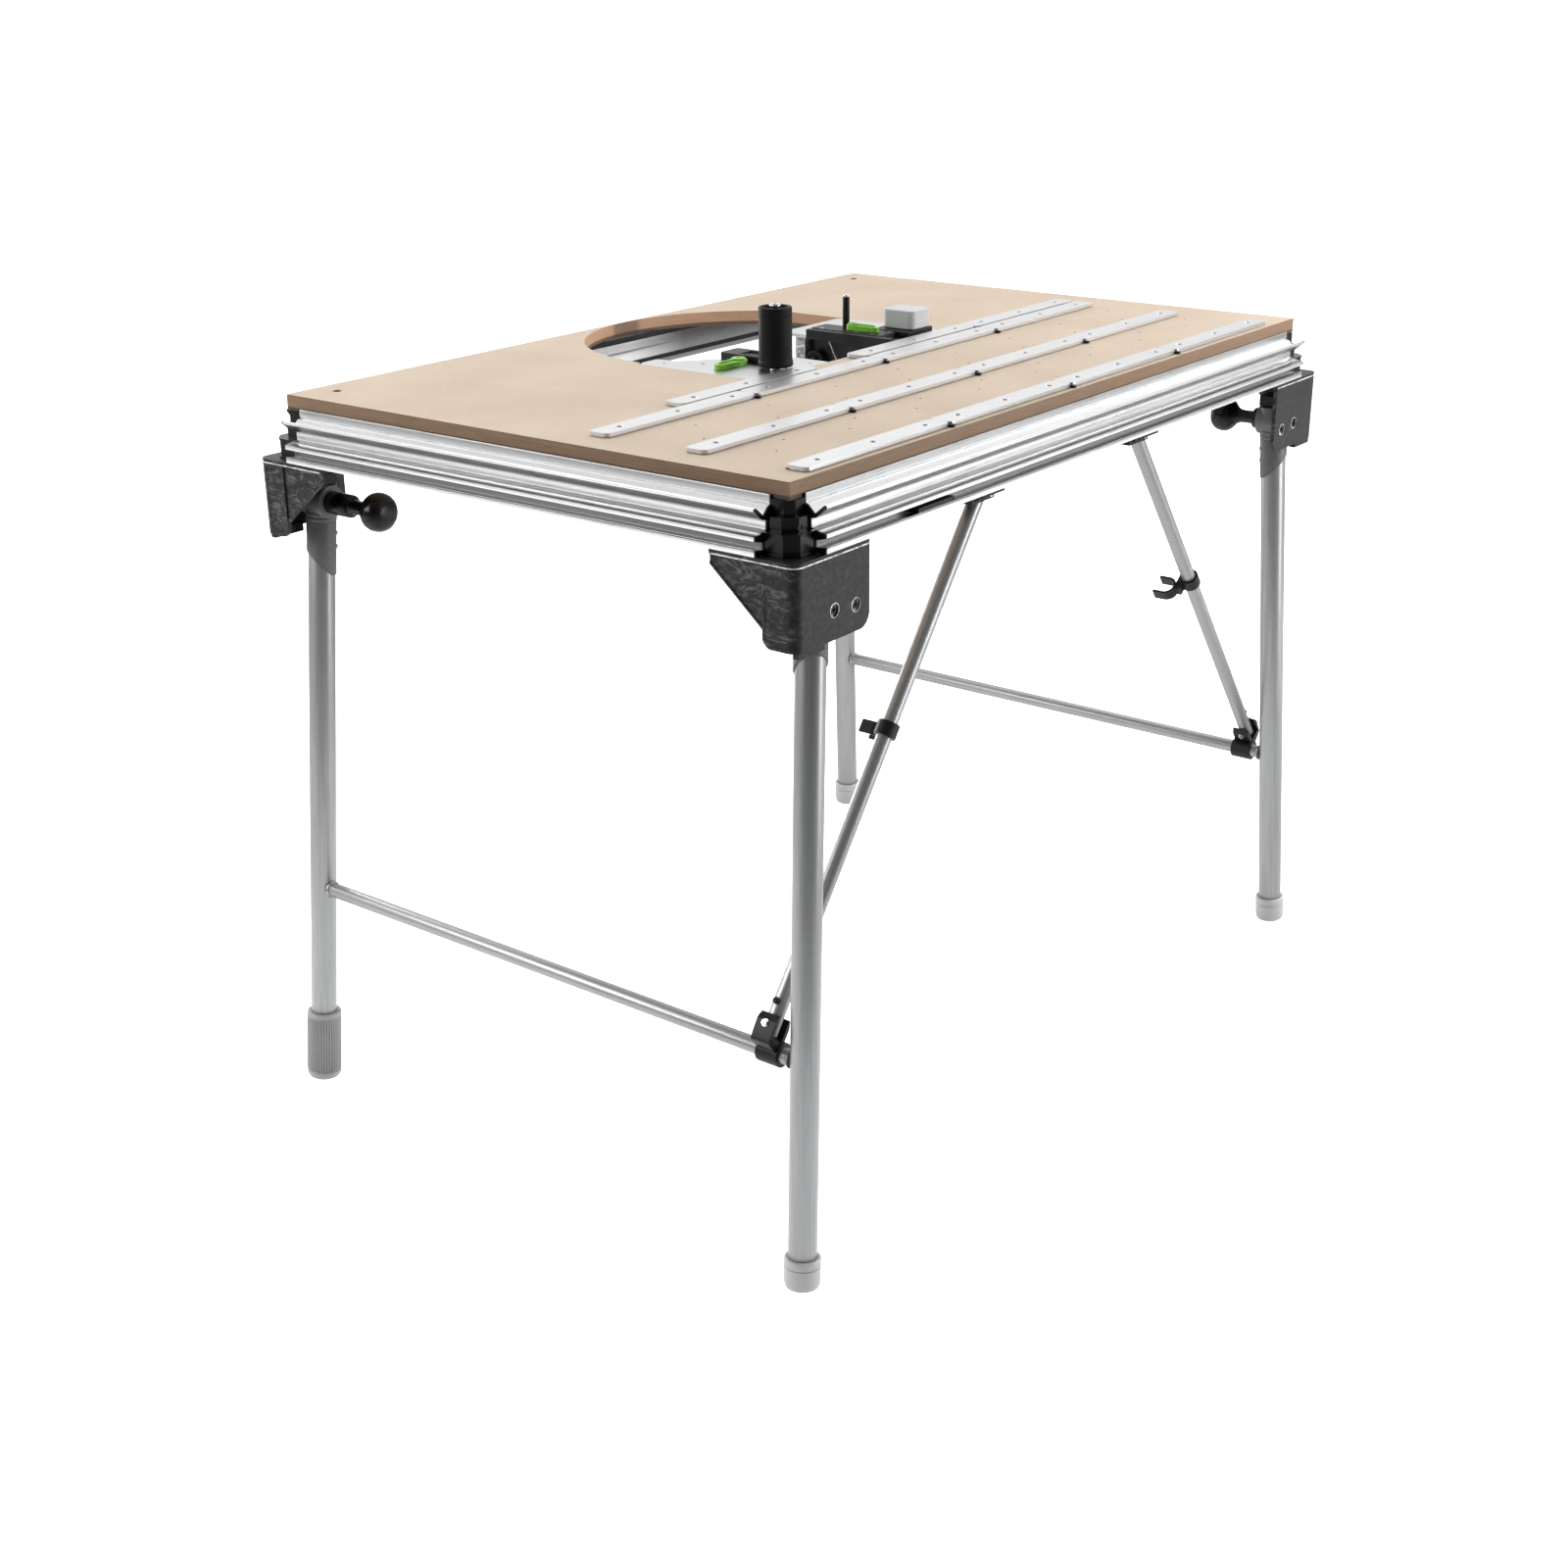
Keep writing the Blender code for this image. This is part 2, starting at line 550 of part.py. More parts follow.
def strut_hook(name, sx, parent):
    """Block on the strut's top end with a lip that catches under the front profile."""
    frame = strut_frame(sx)
    end_x = (frame @ Vector((STRUT_END, 0, 0))).x
    left, right = end_x - 0.0360, end_x + 0.0100
    outer_y, lip_y, front_y, inner_y = -0.3600, -0.3545, -0.3465, STRUT_Y + 0.0105  # inside the folded leg
    floor_z, shelf_z, top_z = 0.7840, 0.7935, 0.7985
    obj = piece(name, block((left, front_y, floor_z), (right, inner_y, top_z)), BLACK, parent)
    shelf = block((left, outer_y, shelf_z), (right, front_y + 0.0030, top_z))
    lip = block((left, outer_y, shelf_z), (right, lip_y, PROFILE_BOTTOM - 0.0022))
    join(obj, shelf)
    join(obj, lip)
    cut(obj, placed(rod((0.0, 0, 0), (STRUT_END + GAP, 0, 0), STRUT_R + GAP, 20), frame))


def strut_button(name, sx):
    """Locking button in its seat in the strut's wall, just above the clamp."""
    frame = strut_frame(sx)
    start = frame @ Vector((BUTTON_AT, BUTTON_SEAT + BUTTON_TRAVEL + GAP, 0))
    button_pivot = pivot(name + "_pivot", start)
    outward = frame.to_3x3() @ Vector((0, 1, 0))
    height = STRUT_R + 0.0044 - BUTTON_SEAT - BUTTON_TRAVEL
    profile = [(0.0, 0.0), (BUTTON_R, 0.0), (BUTTON_R, height - 0.0014), (0.0024, height - 0.0002)]
    profile.append((0.0, height))
    piece(name, turned(profile, start, outward, 16), BLACK, button_pivot)


# ------------------------------------------------------------------ guide rails

def rail_outline(x0, x1, y):
    """Bar with rounded ends and a small notch in both edges at every joint."""
    half, corner, notch = RAIL_W / 2, 0.008, 0.003
    joints = []
    x = x0 + RAIL_PITCH
    while x < x1 - 0.01:
        joints.append(x)
        x += RAIL_PITCH
    lower = arc((x0 + corner, y - half + corner), corner, 180, 270, 3)
    for at in joints:
        lower += [(at - notch, y - half), (at, y - half + notch), (at + notch, y - half)]
    lower += arc((x1 - corner, y - half + corner), corner, 270, 360, 3)
    upper = arc((x1 - corner, y + half - corner), corner, 0, 90, 3)
    for at in reversed(joints):
        upper += [(at + notch, y + half), (at, y + half - notch), (at - notch, y + half)]
    upper += arc((x0 + corner, y + half - corner), corner, 90, 180, 3)
    return lower + upper


def rails():
    rail_end = RAIL_START + 4 * RAIL_PITCH
    rows = (
        ("rail_row_1", RAIL_START, rail_end, -0.337),
        ("rail_row_2", RAIL_START, rail_end, -0.210),
        ("rail_row_3", RAIL_START, rail_end, -0.080),
        ("rail_row_4_left", -0.352, -0.352 + RAIL_PITCH, -0.0475),
        ("rail_row_4_right", rail_end - 2 * RAIL_PITCH, rail_end, -0.0475),
    )
    for name, x0, x1, y in rows:
        piece(name, prism(rail_outline(x0, x1, y), "Z", ON_TOP, ON_TOP + RAIL_H), ALUMINIUM)


# ------------------------------------------------------------------ tool module

def module_plates():
    """Two plates let into the cut-out, flush with the top; the left one has a web below."""
    left, right, front = CUTOUT_LEFT + GAP, CUTOUT_RIGHT - GAP, CUTOUT_FRONT + GAP
    outline = [
        (left, front), (-0.045, front), (-0.045, 0.030), (-0.070, 0.060), (-0.146, 0.122),
        (-0.150, 0.150), (-0.178, 0.150), (left, 0.143),
    ]
    adapter = piece("adapter_plate", prism(outline, "Z", TOP_Z - ADAPTER_THICK, TOP_Z), ALUMINIUM)
    web = [(-0.176, -0.020), (-0.060, -0.020), (-0.060, 0.010), (-0.150, 0.110), (-0.176, 0.110)]
    join(adapter, prism(web, "Z", 0.846, TOP_Z - ADAPTER_THICK + 0.001))
    outline = [(0.088, front), (right, front), (right, 0.130), (0.205, 0.140), (0.088, 0.140)]
    piece("carrier_plate", prism(outline, "Z", TOP_Z - CARRIER_THICK, TOP_Z), ALUMINIUM)


def roller():
    """Standing roller, cupped on top, on a spindle with a screw head."""
    foot = (*ROLLER, ON_TOP)
    spindle = [
        (0.0, 0.0), (0.0060, 0.0), (0.0060, 0.0030), (0.0040, 0.0030), (0.0040, 0.0730),
        (0.0068, 0.0730), (0.0068, 0.0750), (0.0050, 0.0770), (0.0, 0.0772),
    ]
    piece("roller_spindle", turned(spindle, foot, (0, 0, 1), 16), CHROME)
    drum = [
        (0.0043, 0.0), (0.0205, 0.0), (0.0210, 0.0040), (0.0200, 0.0080), (0.0200, 0.0685),
        (0.0190, 0.0695), (0.0165, 0.0695), (0.0150, 0.0660), (0.0043, 0.0660),
    ]
    drum_pivot = pivot("roller_pivot", (*ROLLER, ON_TOP + 0.0035))
    piece("roller", turned(drum, drum_pivot.location, (0, 0, 1), 28), BLACK, drum_pivot)


def lever_outline(centre, length, half, direction):
    """Cam lever seen from above: round at its pivot, narrower at the tip."""
    tip_half = half * 0.7
    base = arc((0.0, 0.0), half, 90, 270, 6)
    tip = arc((length - tip_half, 0.0), tip_half, -80, 80, 5)
    turn = Matrix.Rotation(radians(direction), 2)
    return [tuple(Vector(centre) + turn @ Vector(p)) for p in base + tip]


def corners(x0, y0, x1, y1):
    return [(x0, y0), (x1, y0), (x1, y1), (x0, y1)]


def levers():
    """Fixed arm and stop plate, and the two cam levers that turn beside and on them."""
    arm = rounded(corners(-0.108, 0.020, -0.072, 0.086), 0.006)
    piece("lever_arm", prism(arm, "Z", ON_TOP, 0.8890), BLACK)
    stop = rounded(corners(0.096, -0.010, 0.130, 0.100), 0.004)
    piece("stop_plate", prism(stop, "Z", ON_TOP, STOP_TOP), BLACK)
    for name, centre, length, half, direction, low in (
        ("cam_lever_left", LEFT_LEVER, 0.045, 0.0092, 185, ON_TOP),
        ("cam_lever_right", RIGHT_LEVER, 0.040, 0.0080, 270, STOP_TOP + GAP),
    ):
        lever_pivot = pivot(name + "_pivot", (*centre, low))
        solid = prism(lever_outline(centre, length, half, direction), "Z", low, low + LEVER_H)
        piece(name, solid, GREEN, lever_pivot)


def guide_pin():
    """Black guide pin with a bare tip, standing on the stop plate."""
    profile = [(0.0, 0.0), (0.0048, 0.0), (0.0045, 0.0020), (0.0045, 0.0380), (0.0032, 0.0380),
               (0.0032, 0.0410), (0.0, 0.0415)]
    piece("guide_pin", turned(profile, (*GUIDE_PIN, STOP_TOP + GAP), (0, 0, 1), 16), BLACK)


def cap_block():
    base = rounded(corners(0.1345, -0.024, 0.196, 0.030), 0.006)
    piece("block_base", prism(base, "Z", ON_TOP, STOP_TOP - 0.0001), BLACK)
    cap = rounded(corners(0.150, -0.022, 0.192, 0.026), 0.009)
    piece("cap_block", prism(cap, "Z", STOP_TOP + 0.0002, 0.9120), LIGHT_GREY)


def tool_unit():
    """Edge tool carried below the plate: mount, body, wheel and wire."""
    ceiling = TOP_Z - CARRIER_THICK - GAP
    obj = piece("tool_mount", block((0.090, 0.1048, TOOL_FLOOR), (0.150, 0.1180, ceiling)), CAST)
    join(obj, block((0.110, 0.1100, 0.836), (0.118, 0.1350, ceiling)))
    body = rounded(corners(0.1000, -0.028, 0.1950, 0.1045), 0.010)
    piece("tool_body", prism(body, "Z", TOOL_FLOOR, ceiling), BLACK)
    wheel_pivot = pivot("edge_wheel_pivot", WHEEL)
    tread = [(0.0, -0.0040), (0.0118, -0.0040), (0.0130, -0.0030), (0.0130, 0.0030), (0.0118, 0.0040),
             (0.0050, 0.0040), (0.0050, 0.0062), (0.0, 0.0062)]
    piece("edge_wheel", turned(tread, WHEEL, (1, 0, 0), 24), BLACK, wheel_pivot)
    wire = rod((0.0950, 0.0700, 0.8745), (0.0950, 0.0480, 0.8330), 0.0009, 8)
    piece("spring_wire", wire, CHROME)


def profile_catch():
    """Catch lying in the lower groove of the front profile."""
    front, back = -TOP_HALF_Y - LIP - 0.0007, -TOP_HALF_Y - 0.0158
    piece("profile_catch", block((-0.374, front, 0.8163), (-0.307, back, 0.8210)), BLACK)


# --------------------------------------------------------------------- assembly

def leg_frame(side, sx, levelling_sy, knob_sy, knob_spacer):
    """One folding pair of legs with its crossbar, strut, clamp, clip, hook and knob."""
    fold = pivot(side + "_legs_pivot", (sx * HINGE_X, 0.0, HINGE_Z))
    for sy, end in ((-1, "front"), (1, "back")):
        leg(side + "_" + end, sx, sy, fold, sy == levelling_sy)
    crossbar(side + "_crossbar", sx, fold)
    fold_knob(side + "_fold_knob", sx, knob_sy, knob_spacer)
    bar_axis = leg_point(sx, 1, CROSSBAR_Z)
    clamp_pivot = pivot(side + "_clamp_pivot", (bar_axis.x, STRUT_Y, bar_axis.z))
    strut_clamp(side + "_strut_clamp", sx, clamp_pivot)
    bolt_pivot = pivot(side + "_strut_pivot", (sx * BOLT_X, STRUT_Y, BOLT_Z))
    strut(side + "_strut", sx, bolt_pivot)
    strut_clip(side + "_strut_clip", sx, bolt_pivot)
    strut_hook(side + "_strut_hook", sx, bolt_pivot)
    strut_button(side + "_strut_button", sx)


def build():
    clear_scene()
    table_top()
    profiles()
    for sx, side in ((-1, "left"), (1, "right")):
        for sy, end in ((-1, "front"), (1, "back")):
            corner_block("corner_block_" + side + "_" + end, sx, sy)
            bracket("bracket_" + side + "_" + end, sx, sy)
    leg_frame("left", -1, levelling_sy=1, knob_sy=1, knob_spacer=0.027)
    leg_frame("right", 1, levelling_sy=0, knob_sy=-1, knob_spacer=0.0)
    rails()
    module_plates()
    roller()
    levers()
    guide_pin()
    cap_block()
    tool_unit()
    profile_catch()


build()
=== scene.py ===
from math import acos, atan2, cos, degrees, hypot, pi, radians, sin

import bmesh
import bpy
from mathutils import Matrix, Vector


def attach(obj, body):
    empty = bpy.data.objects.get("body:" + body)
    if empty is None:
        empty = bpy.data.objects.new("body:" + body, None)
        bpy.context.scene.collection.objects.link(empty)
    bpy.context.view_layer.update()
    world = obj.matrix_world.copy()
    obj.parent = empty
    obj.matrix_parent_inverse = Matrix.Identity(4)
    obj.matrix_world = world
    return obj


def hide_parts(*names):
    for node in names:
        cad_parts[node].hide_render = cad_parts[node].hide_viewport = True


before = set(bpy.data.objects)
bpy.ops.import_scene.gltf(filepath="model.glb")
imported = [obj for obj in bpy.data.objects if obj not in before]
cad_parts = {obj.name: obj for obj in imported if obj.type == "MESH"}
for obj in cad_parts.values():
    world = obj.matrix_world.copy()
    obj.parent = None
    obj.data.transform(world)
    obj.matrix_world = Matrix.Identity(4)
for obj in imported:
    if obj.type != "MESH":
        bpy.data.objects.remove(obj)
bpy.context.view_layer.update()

# ------------------------------------------------------------------ levels and places
# Lengths are in metres, in the frame's axes. GAP is the clearance between fixed parts that meet.
GAP = 0.0003
TOP_Z, UNDER_Z = 0.88, 0.862
HALF_X, HALF_Y = 0.551, 0.359
LIP, RIM_Z, PROFILE_BOTTOM, PROFILE_IN = 0.0275, 0.8655, 0.809, 0.008
END_SETBACK = 0.0225
OUT_X, OUT_Y = HALF_X + LIP, HALF_Y + LIP
HINGE_X, HINGE_Y, HINGE_Z = 0.516, 0.3578, 0.75
FOOT_X, FOOT_Y = 0.575, 0.385
TUBE_R = 0.016
CROSSBAR_Z, CROSSBAR_R = 0.263, 0.009
STRUT_Y, STRUT_R = -0.333, 0.009
BOLT_X, BOLT_Z = 0.5551, 0.294
STRUT_TOP_X, STRUT_TOP_Z = 0.185, 0.778
STRUT_LENGTH = hypot(BOLT_X - STRUT_TOP_X, STRUT_TOP_Z - BOLT_Z)
CLIP_AT = 0.34
RAIL_W, RAIL_H, RAIL_PITCH, NOTCH_R = 0.028, 0.0047, 0.25, 0.0048
ON_TOP = TOP_Z + GAP
ROOT = "table"
ADD, CUT = "UNION", "DIFFERENCE"


# ------------------------------------------------------------------ mesh helpers

def face_out(bm):
    if bm.calc_volume(signed=True) < 0.0:
        bmesh.ops.reverse_faces(bm, faces=bm.faces)
    return bm


def prism(outline, axis, lo, hi):
    """Closed solid: an outline of (a, b) points extruded along an axis."""
    place = {
        "X": lambda a, b, h: (h, a, b),
        "Y": lambda a, b, h: (a, h, b),
        "Z": lambda a, b, h: (a, b, h),
    }[axis]
    bm = bmesh.new()
    low = [bm.verts.new(place(a, b, lo)) for a, b in outline]
    high = [bm.verts.new(place(a, b, hi)) for a, b in outline]
    bm.faces.new(low)
    bm.faces.new(list(reversed(high)))
    for i in range(len(outline)):
        j = (i + 1) % len(outline)
        bm.faces.new((low[j], low[i], high[i], high[j]))
    return face_out(bm)


def corners(x0, y0, x1, y1):
    return [(x0, y0), (x1, y0), (x1, y1), (x0, y1)]


def block(lo, hi):
    return prism(corners(lo[0], lo[1], hi[0], hi[1]), "Z", lo[2], hi[2])


def frame_along(origin, direction):
    turn = Vector(direction).normalized().to_track_quat("Z", "Y").to_matrix().to_4x4()
    return Matrix.Translation(Vector(origin)) @ turn


def turned(profile, origin=(0, 0, 0), direction=(0, 0, 1), sides=48):
    """Solid of revolution of (radius, height) points; a profile off the axis closes as a ring."""
    bm = bmesh.new()
    rings = []
    for r, h in profile:
        if r == 0.0:
            rings.append([bm.verts.new((0.0, 0.0, h))])
        else:
            angles = [2.0 * pi * i / sides for i in range(sides)]
            rings.append([bm.verts.new((r * cos(a), r * sin(a), h)) for a in angles])
    pairs = list(zip(rings, rings[1:]))
    if profile[0][0] > 0.0:
        pairs.append((rings[-1], rings[0]))
    for lower, upper in pairs:
        for i in range(sides):
            j = (i + 1) % sides
            if len(lower) == 1:
                bm.faces.new((lower[0], upper[j], upper[i]))
            elif len(upper) == 1:
                bm.faces.new((lower[i], lower[j], upper[0]))
            else:
                bm.faces.new((lower[i], lower[j], upper[j], upper[i]))
    bm.transform(frame_along(origin, direction))
    return face_out(bm)


def rod(a, b, radius, sides=32):
    a, b = Vector(a), Vector(b)
    length = (b - a).length
    return turned([(0.0, 0.0), (radius, 0.0), (radius, length), (0.0, length)], a, b - a, sides)


def arc(centre, radius, start_deg, end_deg, steps):
    angles = [radians(start_deg + (end_deg - start_deg) * k / steps) for k in range(steps + 1)]
    return [(centre[0] + radius * cos(a), centre[1] + radius * sin(a)) for a in angles]


def eased(outline, radius, steps=3, closed=True):
    """Outline with its corners rounded, by less where its sides are short."""
    result = []
    count = len(outline)
    for i in range(count):
        here = Vector(outline[i])
        if not closed and i in (0, count - 1):
            result.append(tuple(here))
            continue
        before, after = Vector(outline[i - 1]), Vector(outline[(i + 1) % count])
        reach = min(radius, 0.45 * (before - here).length, 0.45 * (after - here).length)
        start = here + (before - here).normalized() * reach
        end = here + (after - here).normalized() * reach
        for k in range(steps + 1):
            t = k / steps
            result.append(tuple(start * (1 - t) ** 2 + here * 2 * t * (1 - t) + end * t ** 2))
    return result


def lathe(profile, ease, origin=(0, 0, 0), direction=(0, 0, 1), sides=48):
    """Solid of revolution of an open profile from axis to axis, with its corners eased."""
    return turned(eased(profile, ease, 2, closed=False), origin, direction, sides)


def merged(*solids):
    """Several solids that don't touch, as one mesh."""
    total = bmesh.new()
    for bm in solids:
        mesh = bpy.data.meshes.new("part")
        bm.to_mesh(mesh)
        bm.free()
        total.from_mesh(mesh)
        bpy.data.meshes.remove(mesh)
    return total


def moved(bm, matrix):
    bm.transform(matrix)
    return bm if matrix.determinant() > 0 else face_out(bm)


def mirrored(sx, sy):
    return Matrix.Diagonal((sx, sy, 1.0, 1.0))


# ------------------------------------------------------------------ piece helpers

def link(name, bm):
    mesh = bpy.data.meshes.new(name)
    bm.to_mesh(mesh)
    bm.free()
    obj = bpy.data.objects.new(name, mesh)
    bpy.context.scene.collection.objects.link(obj)
    return obj


def settle(obj):
    """Turn a piece and its modifiers into one final mesh."""
    graph = bpy.context.evaluated_depsgraph_get()
    mesh = bpy.data.meshes.new_from_object(obj.evaluated_get(graph), depsgraph=graph)
    obj.modifiers.clear()
    obj.data = mesh


def solid(base, *steps):
    """Exact booleans in turn: each step is (ADD or CUT, solid)."""
    obj = link("work", base)
    for operation, bm in steps:
        tool = link("tool", bm)
        modifier = obj.modifiers.new("cut", "BOOLEAN")
        modifier.operation, modifier.solver, modifier.object = operation, "EXACT", tool
        settle(obj)
        bpy.data.objects.remove(tool)
    bm = bmesh.new()
    bm.from_mesh(obj.data)
    bpy.data.objects.remove(obj)
    return bm


def piece(name, bm, look, replaces=None, body=ROOT, slot=None, bevel=0.0, segments=2, sharp=35.0, worn=None):
    """A finished piece that rides on a body. Worn is the material of its bevelled edges."""
    obj = link(name, bm)
    obj.data.materials.append(look)
    if bevel:
        modifier = obj.modifiers.new("edges", "BEVEL")
        modifier.width, modifier.segments = bevel, segments
        modifier.limit_method, modifier.angle_limit = "ANGLE", radians(32)
        if worn:
            obj.data.materials.append(worn)
            modifier.material = 1
        obj.data.shade_smooth()
        modifier.harden_normals = True
        settle(obj)
    else:
        obj.data.shade_smooth()
        obj.data.set_sharp_from_angle(angle=radians(sharp))
    if replaces:
        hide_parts(replaces)
    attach(obj, body)
    return obj


def twin(style, name, bm, look, **options):
    """The piece that replaces the CAD solid of its name; its own name starts with its style."""
    return piece(style + "_" + name, bm, look, name, **options)


# ------------------------------------------------------------------ materials

def add_node(tree, kind, inputs=None, **settings):
    """A new node whose inputs are given as values or as sockets to link."""
    node = tree.nodes.new(kind)
    for key, value in settings.items():
        setattr(node, key, value)
    for key, value in (inputs or {}).items():
        if isinstance(value, bpy.types.NodeSocket):
            tree.links.new(value, node.inputs[key])
        else:
            node.inputs[key].default_value = value
    return node


class Look:
    """A Principled material whose colour, roughness and bump come from noise in object space."""

    def __init__(self, name, colour, metallic=0.0, roughness=0.5, **sockets):
        self.material = bpy.data.materials.new(name)
        self.material.use_nodes = True
        self.tree = self.material.node_tree
        self.shader = self.tree.nodes["Principled BSDF"]
        self.shader.inputs["Base Color"].default_value = (*colour, 1.0)
        self.shader.inputs["Metallic"].default_value = metallic
        self.shader.inputs["Roughness"].default_value = roughness
        for key, value in sockets.items():
            self.shader.inputs[key.replace("_", " ").title().replace("Ior", "IOR")].default_value = value
        self.coords = self.tree.nodes.new("ShaderNodeTexCoord").outputs["Object"]
        self.height = None

    def node(self, kind, inputs=None, **settings):
        return add_node(self.tree, kind, inputs, **settings)

    def noise(self, scale, detail=3.0, stretch=(1, 1, 1), roughness=0.55, distortion=0.0):
        mapping = self.node("ShaderNodeMapping", {"Vector": self.coords, "Scale": stretch})
        return self.node("ShaderNodeTexNoise", {
            "Vector": mapping.outputs[0], "Scale": scale, "Detail": detail,
            "Roughness": roughness, "Distortion": distortion}).outputs["Fac"]

    def ramp(self, factor, low, high, out_low, out_high):
        """Map a value range onto another, clamped."""
        return self.node("ShaderNodeMapRange", {
            "Value": factor, "From Min": low, "From Max": high, "To Min": out_low, "To Max": out_high}
        ).outputs["Result"]

    def math(self, operation, a, b):
        return self.node("ShaderNodeMath", {0: a, 1: b}, operation=operation).outputs[0]

    def mix(self, factor, a, b):
        """Colour between two colours or colour sockets."""
        a, b = ((*end, 1.0) if isinstance(end, tuple) else end for end in (a, b))
        return self.node("ShaderNodeMix", {0: factor, 6: a, 7: b}, data_type="RGBA").outputs[2]

    def colour(self, socket):
        self.tree.links.new(socket, self.shader.inputs["Base Color"])

    def rough(self, socket):
        self.tree.links.new(socket, self.shader.inputs["Roughness"])

    def bump(self, height, strength, distance):
        inputs = {"Height": height, "Strength": strength, "Distance": distance}
        if self.height:
            inputs["Normal"] = self.height
        node = self.node("ShaderNodeBump", inputs)
        self.height = node.outputs["Normal"]
        self.tree.links.new(self.height, self.shader.inputs["Normal"])

    def product(self, *ramps):
        """Product of ramps, each given as (factor, low, high, out_low, out_high)."""
        total = self.ramp(*ramps[0])
        for values in ramps[1:]:
            total = self.math("MULTIPLY", total, self.ramp(*values))
        return total

    def normal_axis(self, axis):
        """How far the surface faces along an axis, from -1 to 1."""
        normal = self.node("ShaderNodeNewGeometry").outputs["Normal"]
        return self.node("ShaderNodeSeparateXYZ", {0: normal}).outputs[axis]


def board_look():
    """Fibreboard: flecked top and layered edges. Painted shade makes the outer edges far darker than the
    cut-out walls, and a painted shadow darkens the bottom of every edge.
    """
    look = Look("board", (0.6, 0.48, 0.36), 0.0, 0.6)
    cloud = look.noise(7.0, 4.0)
    fleck = look.noise(620.0, 3.0, roughness=0.7)
    fibre = look.noise(260.0, 4.0, (1.0, 0.35, 1.0), 0.65)
    top = look.mix(look.ramp(cloud, 0.35, 0.65, 0.0, 1.0), (0.575, 0.45, 0.335), (0.635, 0.512, 0.39))
    top = look.mix(look.ramp(fleck, 0.52, 0.7, 0.0, 0.35), top, (0.43, 0.315, 0.215))
    top = look.mix(look.ramp(fibre, 0.56, 0.72, 0.0, 0.3), top, (0.7, 0.585, 0.46))
    layers = look.noise(55.0, 3.0, (0.35, 0.35, 22.0), 0.6)
    grit = look.noise(900.0, 2.0)
    tone, spread = look.ramp(layers, 0.35, 0.68, 0.0, 1.0), look.ramp(grit, 0.45, 0.75, 0.0, 0.5)
    inside = look.mix(spread, look.mix(tone, (0.4, 0.225, 0.13), (0.5, 0.3, 0.18)), (0.58, 0.37, 0.235))
    # Painted shade: outer and outside are the edge layers again in a far darker brown, standing in for the
    # shade on the outer edges; inside is the colour of the cut-out walls.
    outer = look.mix(tone, (0.175, 0.098, 0.05), (0.265, 0.16, 0.09))
    outside = look.mix(spread, outer, (0.33, 0.215, 0.13))
    place = look.node("ShaderNodeSeparateXYZ", {0: look.coords}).outputs
    # Masks of the outer faces, which take the painted shade.
    outer_shade_x = look.ramp(look.math("ABSOLUTE", place["X"], 0.0), HALF_X - 0.003, HALF_X - 0.002, 0.0, 1.0)
    outer_shade_y = look.ramp(look.math("ABSOLUTE", place["Y"], 0.0), HALF_Y - 0.003, HALF_Y - 0.002, 0.0, 1.0)
    side = look.mix(look.math("MAXIMUM", outer_shade_x, outer_shade_y), inside, outside)
    # Painted shadow: every edge turns near black from its bottom up to just above the profile rim, standing
    # in for the shade in the joint over the profiles.
    side = look.mix(look.ramp(place["Z"], RIM_Z, RIM_Z + 0.0014, 0.8, 0.0), side, (0.02, 0.012, 0.008))
    level = look.math("ABSOLUTE", look.normal_axis("Z"), 0.0)
    look.colour(look.mix(look.ramp(level, 0.35, 0.75, 0.0, 1.0), side, top))
    look.rough(look.ramp(fleck, 0.3, 0.7, 0.5, 0.68))
    look.bump(fleck, 0.25, 0.0004)
    look.bump(layers, 0.12, 0.0003)
    return look.material


